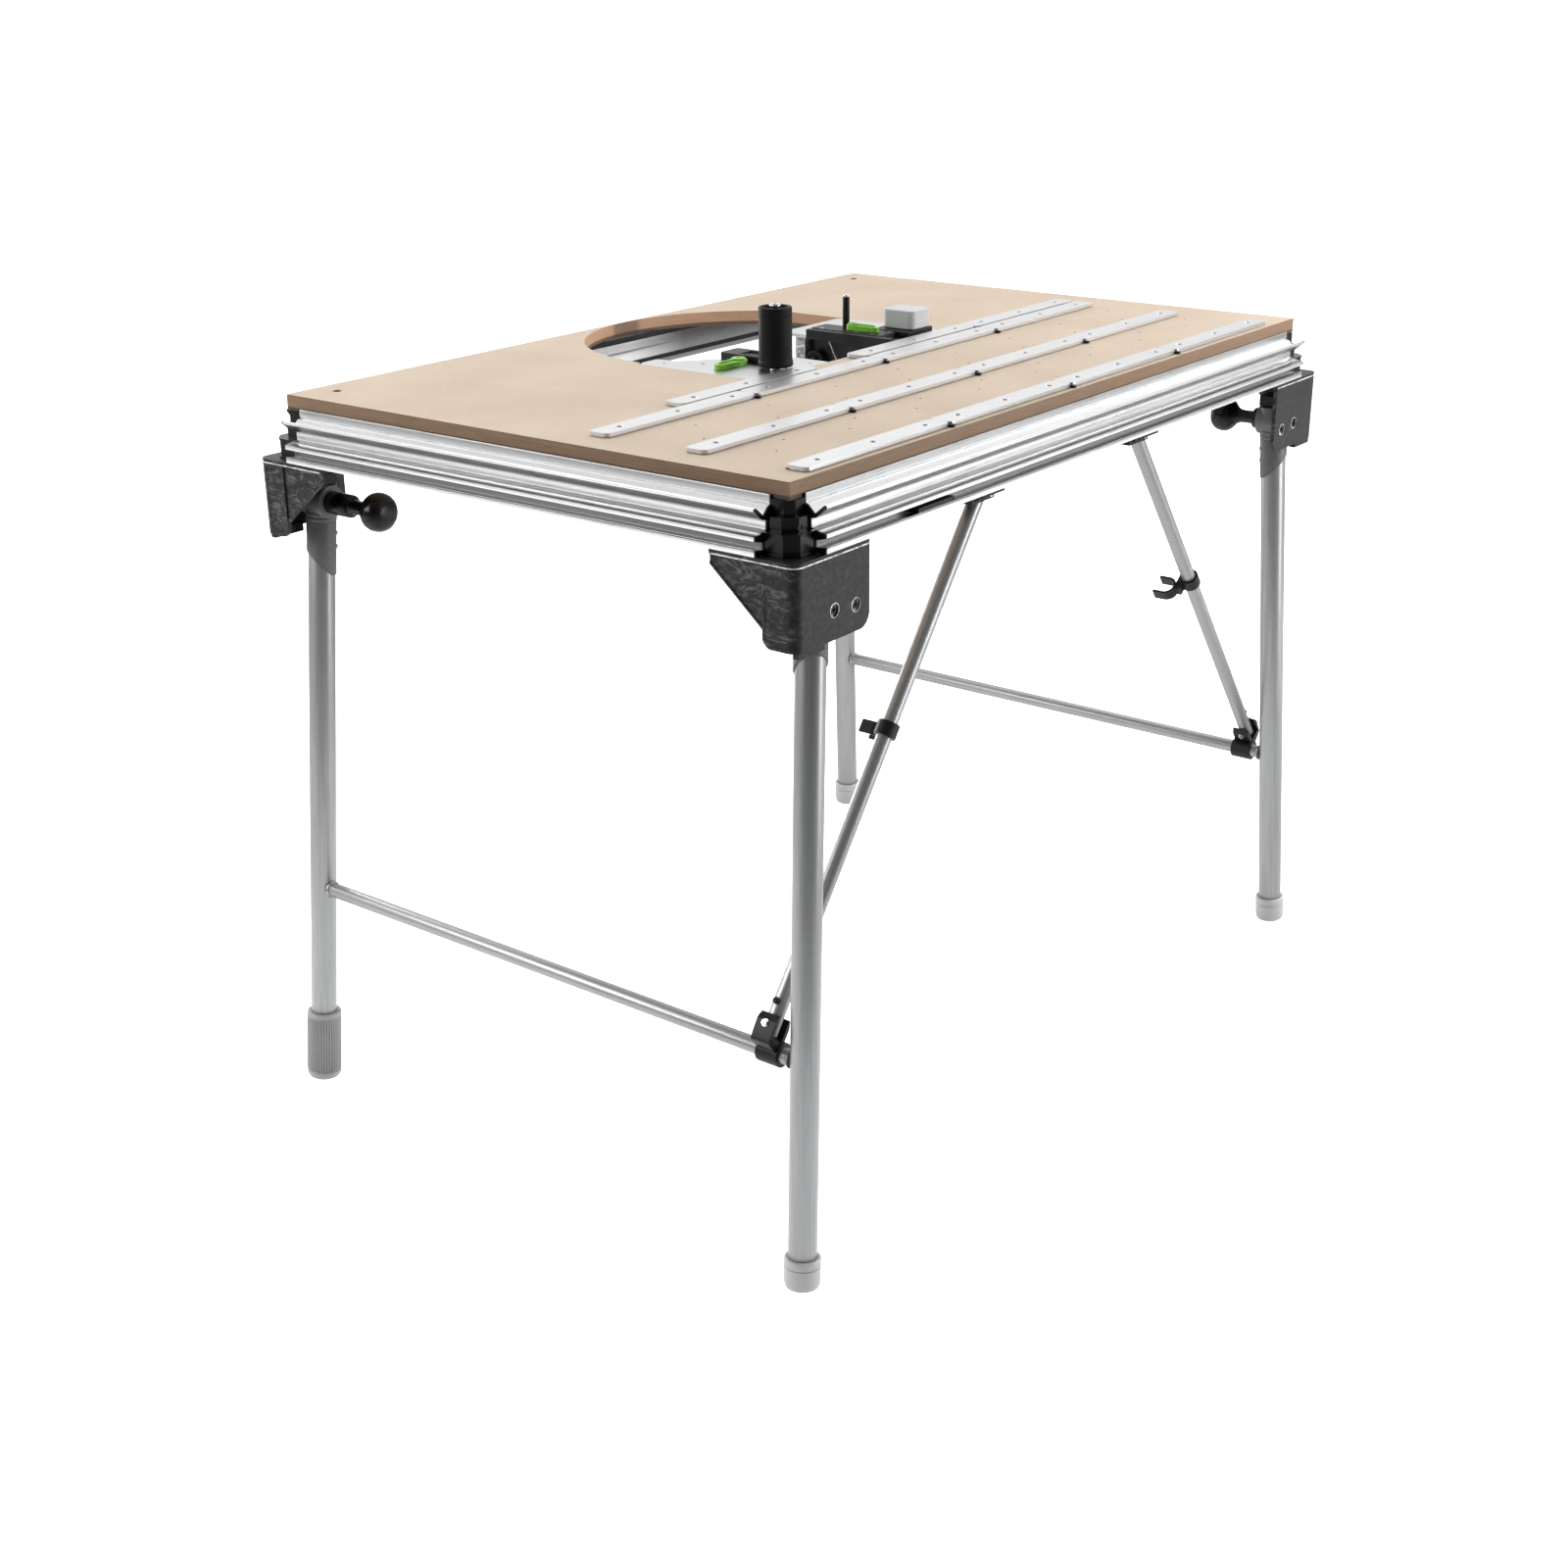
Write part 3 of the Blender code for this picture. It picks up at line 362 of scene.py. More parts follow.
def extruded_look(name, along, colour=(0.86, 0.865, 0.87), roughness=0.3, half=None):
    """Satin aluminium with fine die lines along its length; an edge profile also gets painted shade in its
    grooves, under its lips and on its inner faces.
    """
    look = Look(name, colour, 1.0, roughness)
    stretch = tuple(0.012 if axis == along else 1.0 for axis in "XYZ")
    lines = look.noise(900.0, 3.0, stretch, 0.7)
    broad = look.noise(160.0, 2.0, stretch)
    smear = look.noise(14.0, 3.0)
    tint = look.mix(look.ramp(lines, 0.3, 0.7, 0.0, 1.0), tuple(c * 0.93 for c in colour), colour)
    tint = look.mix(look.ramp(broad, 0.4, 0.62, 0.0, 0.18), tint, tuple(c * 0.84 for c in colour))
    # With half given, the edge profile gets painted shade. Its undersides, its up-facing shelf, the wall
    # under the upper lip, the back of the lower groove, its inner faces (darker towards +X), a thin line on
    # the lower flange and the top band above the scribed line are all mixed towards near black.
    if half:
        place = look.node("ShaderNodeSeparateXYZ", {0: look.coords}).outputs
        level, up = place["Z"], look.normal_axis("Z")
        out = look.math("ABSOLUTE", place["Y" if along == "X" else "X"], 0.0)
        shelf = look.product(
            (up, 0.75, 0.92, 0.0, 1.0), (level, 0.8385, 0.8395, 1.0, 0.0),
            (out, half + 0.0092, half + 0.0255, 0.35, 0.85))
        shadow = look.product((level, 0.8385, 0.842, 0.0, 0.8), (level, 0.843, 0.8434, 1.0, 0.0))
        deep = look.product(
            (level, 0.8143, 0.8146, 0.0, 0.9), (out, half + 0.016, half + 0.017, 1.0, 0.0),
            (level, 0.8225, 0.823, 1.0, 0.0))
        inner = look.product(
            (out, half - 0.006, half - 0.005, 0.85, 0.0), (place["X"], 0.02, 0.14, 0.15, 1.0))
        line = look.product((level, 0.8141, 0.8143, 0.0, 0.85), (level, 0.8153, 0.8155, 1.0, 0.0))
        painted_shade = look.ramp(up, -0.75, -0.45, 0.75, 0.0)
        for part in (shelf, shadow, deep, inner, look.ramp(level, 0.8571, 0.8573, 0.0, 0.3), line):
            painted_shade = look.math("MAXIMUM", painted_shade, part)
        # The painted shade mixes the tint towards near black.
        tint = look.mix(painted_shade, tint, (0.075, 0.076, 0.078))
    look.colour(tint)
    spread = look.math("ADD", look.ramp(lines, 0.3, 0.7, -0.02, 0.03),
                       look.ramp(smear, 0.3, 0.7, -0.01, 0.02))
    look.rough(look.math("ADD", spread, roughness))
    look.bump(lines, 0.03, 0.00012)
    return look.material


def cast_look(name, dark=(0.024, 0.024, 0.025), light=(0.115, 0.115, 0.118), metallic=0.5, streaks=1.0):
    """Dark die-cast metal: calm mottling, with flow streaks on the faces that look along X."""
    look = Look(name, dark, metallic, 0.42, specular_ior_level=0.22)
    flow = look.noise(60.0, 7.0, (1.0, 0.55, 1.5), 0.68, 2.2)
    mottle = look.noise(150.0, 5.0, roughness=0.65)
    grain = look.noise(1100.0, 2.0)
    facing = look.math("ABSOLUTE", look.normal_axis("X"), 0.0)
    amount = look.ramp(facing, 0.6, 0.95, 0.1, 0.85 * streaks)
    lines = look.math("MULTIPLY", look.ramp(flow, 0.5, 0.6, 0.0, 1.0), amount)
    blend = look.math("ADD", lines, look.ramp(mottle, 0.46, 0.75, 0.0, 0.35))
    look.colour(look.mix(blend, dark, light))
    look.rough(look.ramp(mottle, 0.3, 0.7, 0.36, 0.56))
    look.bump(flow, 0.3 * streaks, 0.0007)
    look.bump(grain, 0.25, 0.0002)
    return look.material


def worn_edge_look():
    look = Look("worn_edge", (0.45, 0.45, 0.46), 0.4, 0.38)
    rub = look.noise(120.0, 4.0)
    look.colour(look.mix(look.ramp(rub, 0.34, 0.56, 0.0, 1.0), (0.32, 0.32, 0.325), (0.85, 0.85, 0.86)))
    look.rough(look.ramp(rub, 0.3, 0.7, 0.5, 0.3))
    look.bump(rub, 0.1, 0.0002)
    return look.material


def plastic_look(name, colour, roughness=0.42, grain=900.0, depth=0.18, lift=1.5, shine=0.5):
    """Moulded plastic: fine spark texture and a slight drift of tone and gloss."""
    look = Look(name, colour, 0.0, roughness, specular_ior_level=shine)
    spark = look.noise(grain, 2.0)
    drift = look.noise(22.0, 3.0)
    lifted = tuple(min(1.0, c * lift) for c in colour)
    look.colour(look.mix(look.ramp(drift, 0.35, 0.68, 0.0, 1.0), colour, lifted))
    look.rough(look.ramp(drift, 0.3, 0.7, roughness - 0.05, roughness + 0.07))
    look.bump(spark, depth, 0.00015)
    return look.material


def tube_look():
    """Satin grey tube with faint drawing lines and handling marks."""
    look = Look("tube", (0.28, 0.285, 0.29), 0.6, 0.34)
    lines = look.noise(700.0, 2.0, (1.0, 1.0, 0.02))
    marks = look.noise(26.0, 5.0, (1.0, 1.0, 0.45), 0.65, 0.6)
    base = look.mix(look.ramp(lines, 0.35, 0.65, 0.0, 1.0), (0.28, 0.285, 0.29), (0.33, 0.335, 0.34))
    look.colour(look.mix(look.ramp(marks, 0.55, 0.75, 0.0, 0.18), base, (0.22, 0.225, 0.23)))
    look.rough(look.ramp(marks, 0.35, 0.7, 0.32, 0.37))
    look.bump(lines, 0.04, 0.0001)
    return look.material


def steel_look(name, colour=(0.75, 0.75, 0.75), roughness=0.16):
    look = Look(name, colour, 1.0, roughness)
    rub = look.noise(240.0, 3.0)
    look.colour(look.mix(look.ramp(rub, 0.35, 0.7, 0.0, 1.0), colour, tuple(c * 0.78 for c in colour)))
    look.rough(look.ramp(rub, 0.3, 0.7, roughness, roughness + 0.14))
    look.bump(rub, 0.05, 0.0001)
    return look.material


BOARD = board_look()
PROFILE_X = extruded_look("profile_x", "X", (0.86, 0.865, 0.87), 0.28, HALF_Y)
PROFILE_Y = extruded_look("profile_y", "Y", (0.86, 0.865, 0.87), 0.28, HALF_X)
RAIL = extruded_look("rail", "X", (0.66, 0.665, 0.67), 0.34)
PLATE = extruded_look("plate", "X", (0.62, 0.63, 0.64), 0.3)
CAST = cast_look("bracket")
HEAD = cast_look("leg_head", (0.125, 0.125, 0.128), (0.19, 0.19, 0.195), 0.25, 0.15)
TOOL_CAST = cast_look("tool_cast", (0.16, 0.16, 0.165), (0.62, 0.62, 0.63), 0.6)
WORN = worn_edge_look()
TUBE = tube_look()
BLACK = plastic_look("black_plastic", (0.006, 0.006, 0.0065), 0.4, lift=2.2, shine=0.2)
GLOSS = plastic_look("gloss_black", (0.004, 0.004, 0.0045), 0.24, 500.0, 0.06, 1.8, 0.25)
RUBBER = plastic_look("black_rubber", (0.006, 0.006, 0.006), 0.5, 700.0, 0.25, 1.8, 0.12)
FOOT = plastic_look("foot_plastic", (0.36, 0.36, 0.365), 0.46, 800.0, 0.2, 1.12)
FLUTED = plastic_look("fluted_foot", (0.24, 0.24, 0.245), 0.46, 800.0, 0.2, 1.15)
CAP = plastic_look("cap_grey", (0.56, 0.57, 0.58), 0.38, 1100.0, 0.2, 1.08)
GREEN = plastic_look("lever_green", (0.2, 0.52, 0.035), 0.3, 900.0, 0.08, 1.25)
STEEL = steel_look("bright_steel")
ZINC = steel_look("zinc", (0.58, 0.58, 0.59), 0.26)
DARK_STEEL = steel_look("dark_steel", (0.045, 0.045, 0.047), 0.4)


# ------------------------------------------------------------------ fasteners

def socket_screw(origin, direction, radius, height, sides=32):
    """Round screw head with a hexagonal socket; its top is at origin."""
    head = [(0.0, -height), (radius, -height), (radius, -0.18 * radius), (radius * 0.86, 0.0), (0.0, 0.0)]
    hexagon = arc((0.0, 0.0), radius * 0.52, 0, 300, 5)
    pocket = prism(hexagon, "Z", -0.6 * height, radius)
    return moved(solid(turned(head, sides=sides), (CUT, pocket)), frame_along(origin, direction))


def star_screw(origin, direction, radius, depth=0.0012):
    """Flat countersunk head with a small six-lobed recess; its top is at origin."""
    head = [(0.0, -depth), (radius * 0.55, -depth), (radius, -0.0001), (radius, 0.0), (0.0, 0.0)]
    lobes = []
    for k in range(12):
        reach = radius * (0.52 if k % 2 == 0 else 0.36)
        lobes.append((reach * cos(k * pi / 6), reach * sin(k * pi / 6)))
    star = prism(lobes, "Z", -0.6 * depth, radius)
    return moved(solid(turned(head, sides=24), (CUT, star)), frame_along(origin, direction))


def hex_bolt(origin, direction, across, height):
    """Hexagonal head on a round flange; its flange starts at origin."""
    flange = rod((0, 0, 0), (0, 0, height * 0.22), across * 0.68)
    head = prism(arc((0.0, 0.0), across * 0.577, 0, 300, 5), "Z", height * 0.1, height)
    return moved(solid(flange, (ADD, head)), frame_along(origin, direction))


# ------------------------------------------------------------------ table top

CUT_CENTRE, CUT_R = (0.028, 0.152), 0.206
CUT_LEFT, CUT_RIGHT, CUT_FRONT = -0.185, 0.215, -0.033
RAIL_ROWS = (
    ("rail_row_1", -0.512, 4, -0.337), ("rail_row_2", -0.512, 4, -0.21), ("rail_row_3", -0.512, 4, -0.08),
    ("rail_row_4_left", -0.352, 1, -0.0475), ("rail_row_4_right", -0.012, 2, -0.0475),
)
SCREW_PLACES = (0.0345, 0.1285, 0.2225)
PEG_X, PEG_Y, PEG_R = 0.505, 0.3255, 0.0055
KNUCKLE_HALF = 0.0185
STOP_TOP = 0.8884


def table_board():
    meets_right = degrees(acos((CUT_RIGHT - CUT_CENTRE[0]) / CUT_R))
    outline = arc(CUT_CENTRE, CUT_R, meets_right, 180, 120)
    outline += [(CUT_LEFT, CUT_CENTRE[1]), (CUT_LEFT, CUT_FRONT), (CUT_RIGHT, CUT_FRONT)]
    places = [(sx * PEG_X, sy * PEG_Y) for sx in (-1, 1) for sy in (-1, 1)]
    holes = [rod((*at, UNDER_Z - 0.01), (*at, TOP_Z + 0.01), PEG_R) for at in places]
    pilots = []
    for row, y in enumerate((-0.2695, -0.244, -0.175, -0.127)):
        for k in range(8):
            x = -0.455 + 0.125 * k + (0.045 if row % 2 else 0.0)
            pilots.append(rod((x, y, TOP_Z - 0.004), (x, y, TOP_Z + 0.01), 0.0017, 12))
    board = solid(
        block((-HALF_X, -HALF_Y, UNDER_Z), (HALF_X, HALF_Y, TOP_Z)),
        (CUT, prism(outline, "Z", UNDER_Z - 0.01, TOP_Z + 0.01)),
        (CUT, merged(*holes, *pilots)))
    piece("board", board, BOARD, "table_top", bevel=0.0006)
    # Painted shade: thin black liners inside the peg holes, so that the holes read dark.
    wall = corners(PEG_R - 0.0006, UNDER_Z, PEG_R - 0.0001, TOP_Z - 0.001)
    piece("hole_shade_liners", merged(*(turned(wall, (*at, 0.0), sides=32) for at in places)), BLACK, sharp=30)


# ------------------------------------------------------------------ edge profiles

def profile_section():
    """(distance out, height) of a grooved edge profile, with its thin scribed lines."""
    return eased([
        (GAP, RIM_Z), (0.0025, RIM_Z), (0.0025, 0.8572), (0.0016, 0.8568), (0.0016, 0.8564),
        (0.0025, 0.856), (0.006, 0.8548), (0.014, 0.847), (0.0255, 0.8568), (LIP, 0.856), (LIP, 0.8538),
        (0.0155, 0.8434), (0.0092, 0.8425), (0.0092, 0.8328),
        (0.018, 0.831), (0.0184, 0.8305), (0.0188, 0.8308),
        (0.0255, 0.8294), (LIP, 0.8284), (LIP, 0.8246),
        (0.0153, 0.8215), (0.0153, 0.8142), (LIP, 0.8158), (LIP, 0.8154), (LIP - 0.0008, 0.815),
        (LIP - 0.0008, 0.8146), (LIP, 0.8142), (LIP, PROFILE_BOTTOM),
        (0.018, PROFILE_BOTTOM), (-PROFILE_IN, 0.8225), (-PROFILE_IN, UNDER_Z - GAP), (GAP, UNDER_Z - GAP),
    ], 0.0004, 2)


def profiles():
    end_x, end_y = HALF_X - END_SETBACK, HALF_Y - END_SETBACK
    for name, sign, half, axis, end, look in (
        ("profile_front", -1, HALF_Y, "X", end_x, PROFILE_X),
        ("profile_back", 1, HALF_Y, "X", end_x, PROFILE_X),
        ("profile_left", -1, HALF_X, "Y", end_y, PROFILE_Y),
        ("profile_right", 1, HALF_X, "Y", end_y, PROFILE_Y),
    ):
        outline = [(sign * (half + out), z) for out, z in profile_section()]
        twin("edge", name, prism(outline, axis, -end, end), look, sharp=28)


def painted_shadow_strips():
    """Thin black strips along the inner faces of the profiles, at the top and the bottom: painted shadow,
    dark sheets standing in for the shade there.
    """
    face, thick = PROFILE_IN + 0.0001, 0.0008
    end_x, end_y = HALF_X - END_SETBACK - 0.002, HALF_Y - END_SETBACK - 0.002
    # Each strip is painted shadow, a black sheet where the profile's inner face is only in shade.
    for level, lo, hi in (("low", 0.8228, 0.828), ("high", 0.8545, UNDER_Z - GAP)):
        for sign, y_end, x_end in ((-1, "front", "left"), (1, "back", "right")):
            y0, y1 = sorted((sign * (HALF_Y - face), sign * (HALF_Y - face - thick)))
            piece(f"shadow_strip_{y_end}_{level}", block((-end_x, y0, lo), (end_x, y1, hi)), BLACK)
            x0, x1 = sorted((sign * (HALF_X - face), sign * (HALF_X - face - thick)))
            piece(f"shadow_strip_{x_end}_{level}", block((x0, -end_y, lo), (x1, end_y, hi)), BLACK)


def corner_block(tag, sx, sy):
    in_x, in_y = HALF_X - END_SETBACK + GAP, HALF_Y - END_SETBACK + GAP
    cover = 0.0018

    def level(out, chamfer, lo, hi):
        x, y = HALF_X + out, HALF_Y + out
        outline = [(in_x, in_y), (x, in_y), (x, y - chamfer), (x - chamfer, y), (in_x, y)]
        return prism(outline, "Z", lo, hi)

    section = profile_section()
    x_cover = prism([(HALF_Y + out, z) for out, z in section], "X", in_x, in_x + cover)
    y_cover = prism([(HALF_X + out, z) for out, z in section], "Y", in_y, in_y + cover)
    steps = [
        level(0.0072, 0.012, 0.83, 0.8456), level(0.009, 0.0125, 0.8448, 0.8462),
        level(0.014, 0.012, PROFILE_BOTTOM, 0.8312), level(0.0152, 0.0125, 0.8302, 0.8318),
        level(0.0155, 0.0125, PROFILE_BOTTOM, 0.8112), x_cover, y_cover,
    ]
    body = solid(level(0.0025, 0.008, 0.844, UNDER_Z - GAP), *((ADD, step) for step in steps))
    window = block((HALF_X - 0.01, HALF_Y + 0.0064, 0.8335), (HALF_X - 0.004, HALF_Y + 0.02, 0.8375))
    body = solid(body, (CUT, window))
    name = "corner_block_" + tag
    twin("end", name, moved(body, mirrored(sx, sy)), GLOSS, bevel=0.0003)


# ------------------------------------------------------------------ corner brackets

def bracket(tag, sx, sy):
    top, foot, wall = PROFILE_BOTTOM - GAP, 0.72, 0.005
    inner_x, curl, toe = 0.458, 0.016, 0.003
    rim = top - 0.0016
    wall_x = [(OUT_X, top), (OUT_X, foot + toe), (OUT_X - toe, foot), (inner_x + curl, foot)]
    wall_x += arc((inner_x + curl, foot + curl), curl, 265, 185, 12)
    wall_x += [(inner_x, foot + curl), (inner_x, top)]
    wall_y = eased([(OUT_Y, top), (OUT_Y, foot + toe), (OUT_Y - toe, foot), (0.352, foot),
                    (0.345, foot + 0.007), (0.345, top)], 0.0035, 4)
    gusset = [(0.35, top), (0.35, 0.7372), (0.345, 0.737), (0.28, 0.793), (0.28, top)]
    band = [(0.3575, rim), (0.3575, 0.7372), (0.3452, 0.7374), (0.3452, rim)]
    edge = [(0.3452, 0.7374), (0.2802, 0.7934), (0.2802, 0.7968), (0.3452, 0.7408)]
    plate = [(OUT_X, OUT_Y), (inner_x, OUT_Y), (inner_x, 0.345), (0.552, 0.345), (0.562, 0.28),
             (OUT_X, 0.28)]
    radius = 0.012
    boss_y = HINGE_Y + KNUCKLE_HALF + GAP

    def rounded_out(grow, lo, hi):
        """Waste outside the rounded vertical edge, for a wall grown outwards."""
        centre = (OUT_X - radius, OUT_Y - radius)
        outline = arc(centre, radius + grow, 0, 90, 14)
        outline += [(centre[0], OUT_Y + 0.01), (OUT_X + 0.01, OUT_Y + 0.01), (OUT_X + 0.01, centre[1])]
        return prism(outline, "Z", lo, hi)

    def groove(z):
        """Shallow channel cut round the outer walls, just under the rim; the bead lies in it."""
        deep = 0.0006
        return solid(
            block((inner_x - 0.01, 0.27, z), (OUT_X + 0.01, OUT_Y + 0.01, z + 0.0027)),
            (CUT, solid(
                block((inner_x - 0.02, 0.26, z - 0.01), (OUT_X - deep, OUT_Y - deep, z + 0.01)),
                (CUT, rounded_out(-deep, z - 0.02, z + 0.02)))))

    body = solid(
        prism(wall_x, "Y", OUT_Y - wall, OUT_Y),
        (ADD, prism(wall_y, "X", OUT_X - wall, OUT_X)),
        (ADD, prism(gusset, "X", OUT_X - wall, OUT_X - 0.0022)),
        (ADD, prism(edge, "X", OUT_X - 0.003, OUT_X - 0.0012)),
        (ADD, prism(plate, "Z", top - 0.005, top)),
        (ADD, block((0.53, 0.377, foot - 0.0065), (0.572, 0.3845, foot + 0.004))),
        (ADD, rod((HINGE_X, boss_y, HINGE_Z), (HINGE_X, OUT_Y - 0.001, HINGE_Z), 0.016)))
    reach = 0.0068
    screw_places = ((HINGE_X, HINGE_Z, 0.0045), (0.4805, 0.747, 0.0035))
    body = solid(
        body,
        (CUT, rounded_out(0.0, foot - 0.001, top + 0.01)),
        (CUT, groove(top - 0.0048)),
        *((CUT, rod((x, OUT_Y - depth, z), (x, OUT_Y + 0.01, z), reach)) for x, z, depth in screw_places),
        *((CUT, rod((x, OUT_Y - 0.001, z), (x, OUT_Y + 0.01, z), reach + 0.001))
          for x, z, _ in screw_places),
        (CUT, rod((HINGE_X, boss_y - 0.01, HINGE_Z), (HINGE_X, boss_y + 0.0035, HINGE_Z), 0.0055)))
    inset = 0.0004
    face = eased([(OUT_Y - 0.0125, top - 0.008), (OUT_Y - 0.0125, foot + 0.01), (0.3545, foot + 0.0045),
                  (0.3485, foot + 0.01), (0.3485, top - 0.008)], 0.003, 3)
    body = solid(body, (CUT, prism(face, "X", OUT_X - inset, OUT_X + 0.01)))
    flip = mirrored(sx, sy)
    name = "bracket_" + tag
    twin("cast", name, moved(body, flip), CAST, bevel=0.0009, worn=WORN)
    ridge = -0.0001
    bead = solid(
        block((inner_x + 0.001, 0.282, top - 0.0048), (OUT_X + ridge, OUT_Y + ridge, top - 0.0034)),
        (CUT, rounded_out(ridge, top - 0.01, top + 0.01)),
        (CUT, solid(
            block((inner_x - 0.01, 0.27, top - 0.01), (OUT_X - 0.0009, OUT_Y - 0.0009, top + 0.01)),
            (CUT, rounded_out(-0.0009, top - 0.02, top + 0.02)))))
    piece("bracket_rim_" + tag, moved(bead, flip), WORN)
    shine = prism(band, "X", OUT_X - 0.003, OUT_X - 0.0016)
    piece("bracket_band_" + tag, moved(shine, flip), WORN, bevel=0.0005)
    for k, (x, z, depth) in enumerate(screw_places):
        screw = socket_screw((x, OUT_Y - depth + 0.0028, z), (0, 1, 0), 0.0048, 0.0027)
        piece(f"bracket_screw_{tag}_{k + 1}", moved(screw, flip), DARK_STEEL, sharp=30)
        collar = turned([(0.0053, 0.0), (0.0066, 0.0), (0.0066, 0.001), (0.0058, 0.0014), (0.0053, 0.001)],
                        (x, OUT_Y - depth, z), (0, 1, 0), 32)
        piece(f"bracket_washer_{tag}_{k + 1}", moved(collar, flip), ZINC, sharp=30)
        lip = reach + 0.0009
        eye = turned([(reach, -0.0012), (lip, -0.0012), (lip, -0.0003), (reach, -0.0001)],
                     (x, OUT_Y, z), (0, 1, 0), 40)
        piece(f"bracket_eye_{tag}_{k + 1}", moved(eye, flip), WORN, sharp=30)


# ------------------------------------------------------------------ legs

def leg_ends(sx, sy):
    return Vector((sx * HINGE_X, sy * HINGE_Y, HINGE_Z)), Vector((sx * FOOT_X, sy * FOOT_Y, 0.0))


def leg_point(sx, sy, z):
    hinge, floor = leg_ends(sx, sy)
    return hinge.lerp(floor, (HINGE_Z - z) / HINGE_Z)


def sleeve_turn(up):
    """Turn about a leg's axis that brings its own X back to the world's X."""
    x_axis = up.to_track_quat("Z", "Y") @ Vector((1.0, 0.0, 0.0))
    return -atan2(x_axis.y, x_axis.x)


def leg_head(tag, sx, sy, body):
    hinge, floor = leg_ends(sx, sy)
    up = (hinge - floor).normalized()
    collar = eased([
        (0.0, -0.06), (0.0136, -0.06), (0.0136, -0.0235), (0.018, -0.0235), (0.018, -0.019),
        (0.0171, -0.018), (0.018, -0.017), (0.018, -0.013), (0.0171, -0.012), (0.018, -0.011),
        (0.018, 0.02), (0.0, 0.02)], 0.0005, 2, closed=False)
    half = KNUCKLE_HALF
    pin_end = sy * (HINGE_Y + half + GAP + 0.003)
    knuckle = eased([(0.0, 0.0), (0.0195, 0.0), (0.0195, 2 * half), (0.0, 2 * half)], 0.001, 3, closed=False)
    head = solid(
        turned(collar, hinge, up, 56),
        (ADD, turned(knuckle, (hinge.x, hinge.y - half, hinge.z), (0, 1, 0), 56)),
        (ADD, rod((hinge.x, hinge.y, hinge.z), (hinge.x, pin_end, hinge.z), 0.005)))
    name = "leg_head_" + tag
    twin("cast", name, head, HEAD, body=body, sharp=32)
    skin = TUBE_R + 0.0016
    skirt = turned(eased(corners(TUBE_R + 0.0002, -0.088, skin, -0.0238), 0.0004, 2), sides=64)
    cut = block((-0.06, -0.06, -0.1), (0.06, 0.06, 0.0))
    outward = atan2(0.79 * sy, 0.61 * sx)
    middle = -0.0735 if sy > 0 else -0.0618
    tilt = Matrix.Translation((0, 0, middle)) @ Matrix.Rotation(outward, 4, "Z")
    skirt = solid(skirt, (CUT, moved(cut, tilt @ Matrix.Rotation(radians(-42), 4, "Y"))))
    lean = Matrix.Translation(hinge) @ up.to_track_quat("Z", "Y").to_matrix().to_4x4()
    spin = Matrix.Rotation(sleeve_turn(up), 4, "Z")
    piece("leg_sleeve_" + tag, moved(skirt, lean @ spin), HEAD, body=body, sharp=32)
    cheek = block((-0.014, -0.0165, 0.0196), (0.014, 0.0165, 0.034))
    piece("hinge_block_" + tag, moved(cheek, Matrix.Translation(hinge)), BLACK, body=body, bevel=0.0015)


def leg_tube(tag, sx, sy, body):
    hinge, floor = leg_ends(sx, sy)
    axis = hinge - floor
    high, bore, low = axis.length - 0.0235 - GAP, 0.014, 0.011
    wall = eased([(TUBE_R, low), (TUBE_R, high), (bore, high), (bore, low)], 0.0004, 2)
    name = "leg_tube_" + tag
    obj = twin("round", name, turned(wall, sides=64), TUBE, body=body, sharp=30)
    obj.matrix_world = frame_along(floor, axis)
    up = axis.normalized()
    side = Vector((-sx * 0.62, -0.78 * sy, 0.0)).cross(up).cross(up).normalized() * -1.0
    for k, drop in enumerate((0.0385, 0.0545)):
        at = hinge - up * drop
        rivet = eased([(0.0, -0.001), (0.0034, -0.001), (0.0031, 0.0006), (0.0, 0.0013)],
                      0.0004, 3, closed=False)
        rivet = turned(rivet, at + side * (TUBE_R + 0.0022), side, 24)
        piece(f"rivet_{tag}_{k + 1}", rivet, ZINC, body=body, slot="tube")


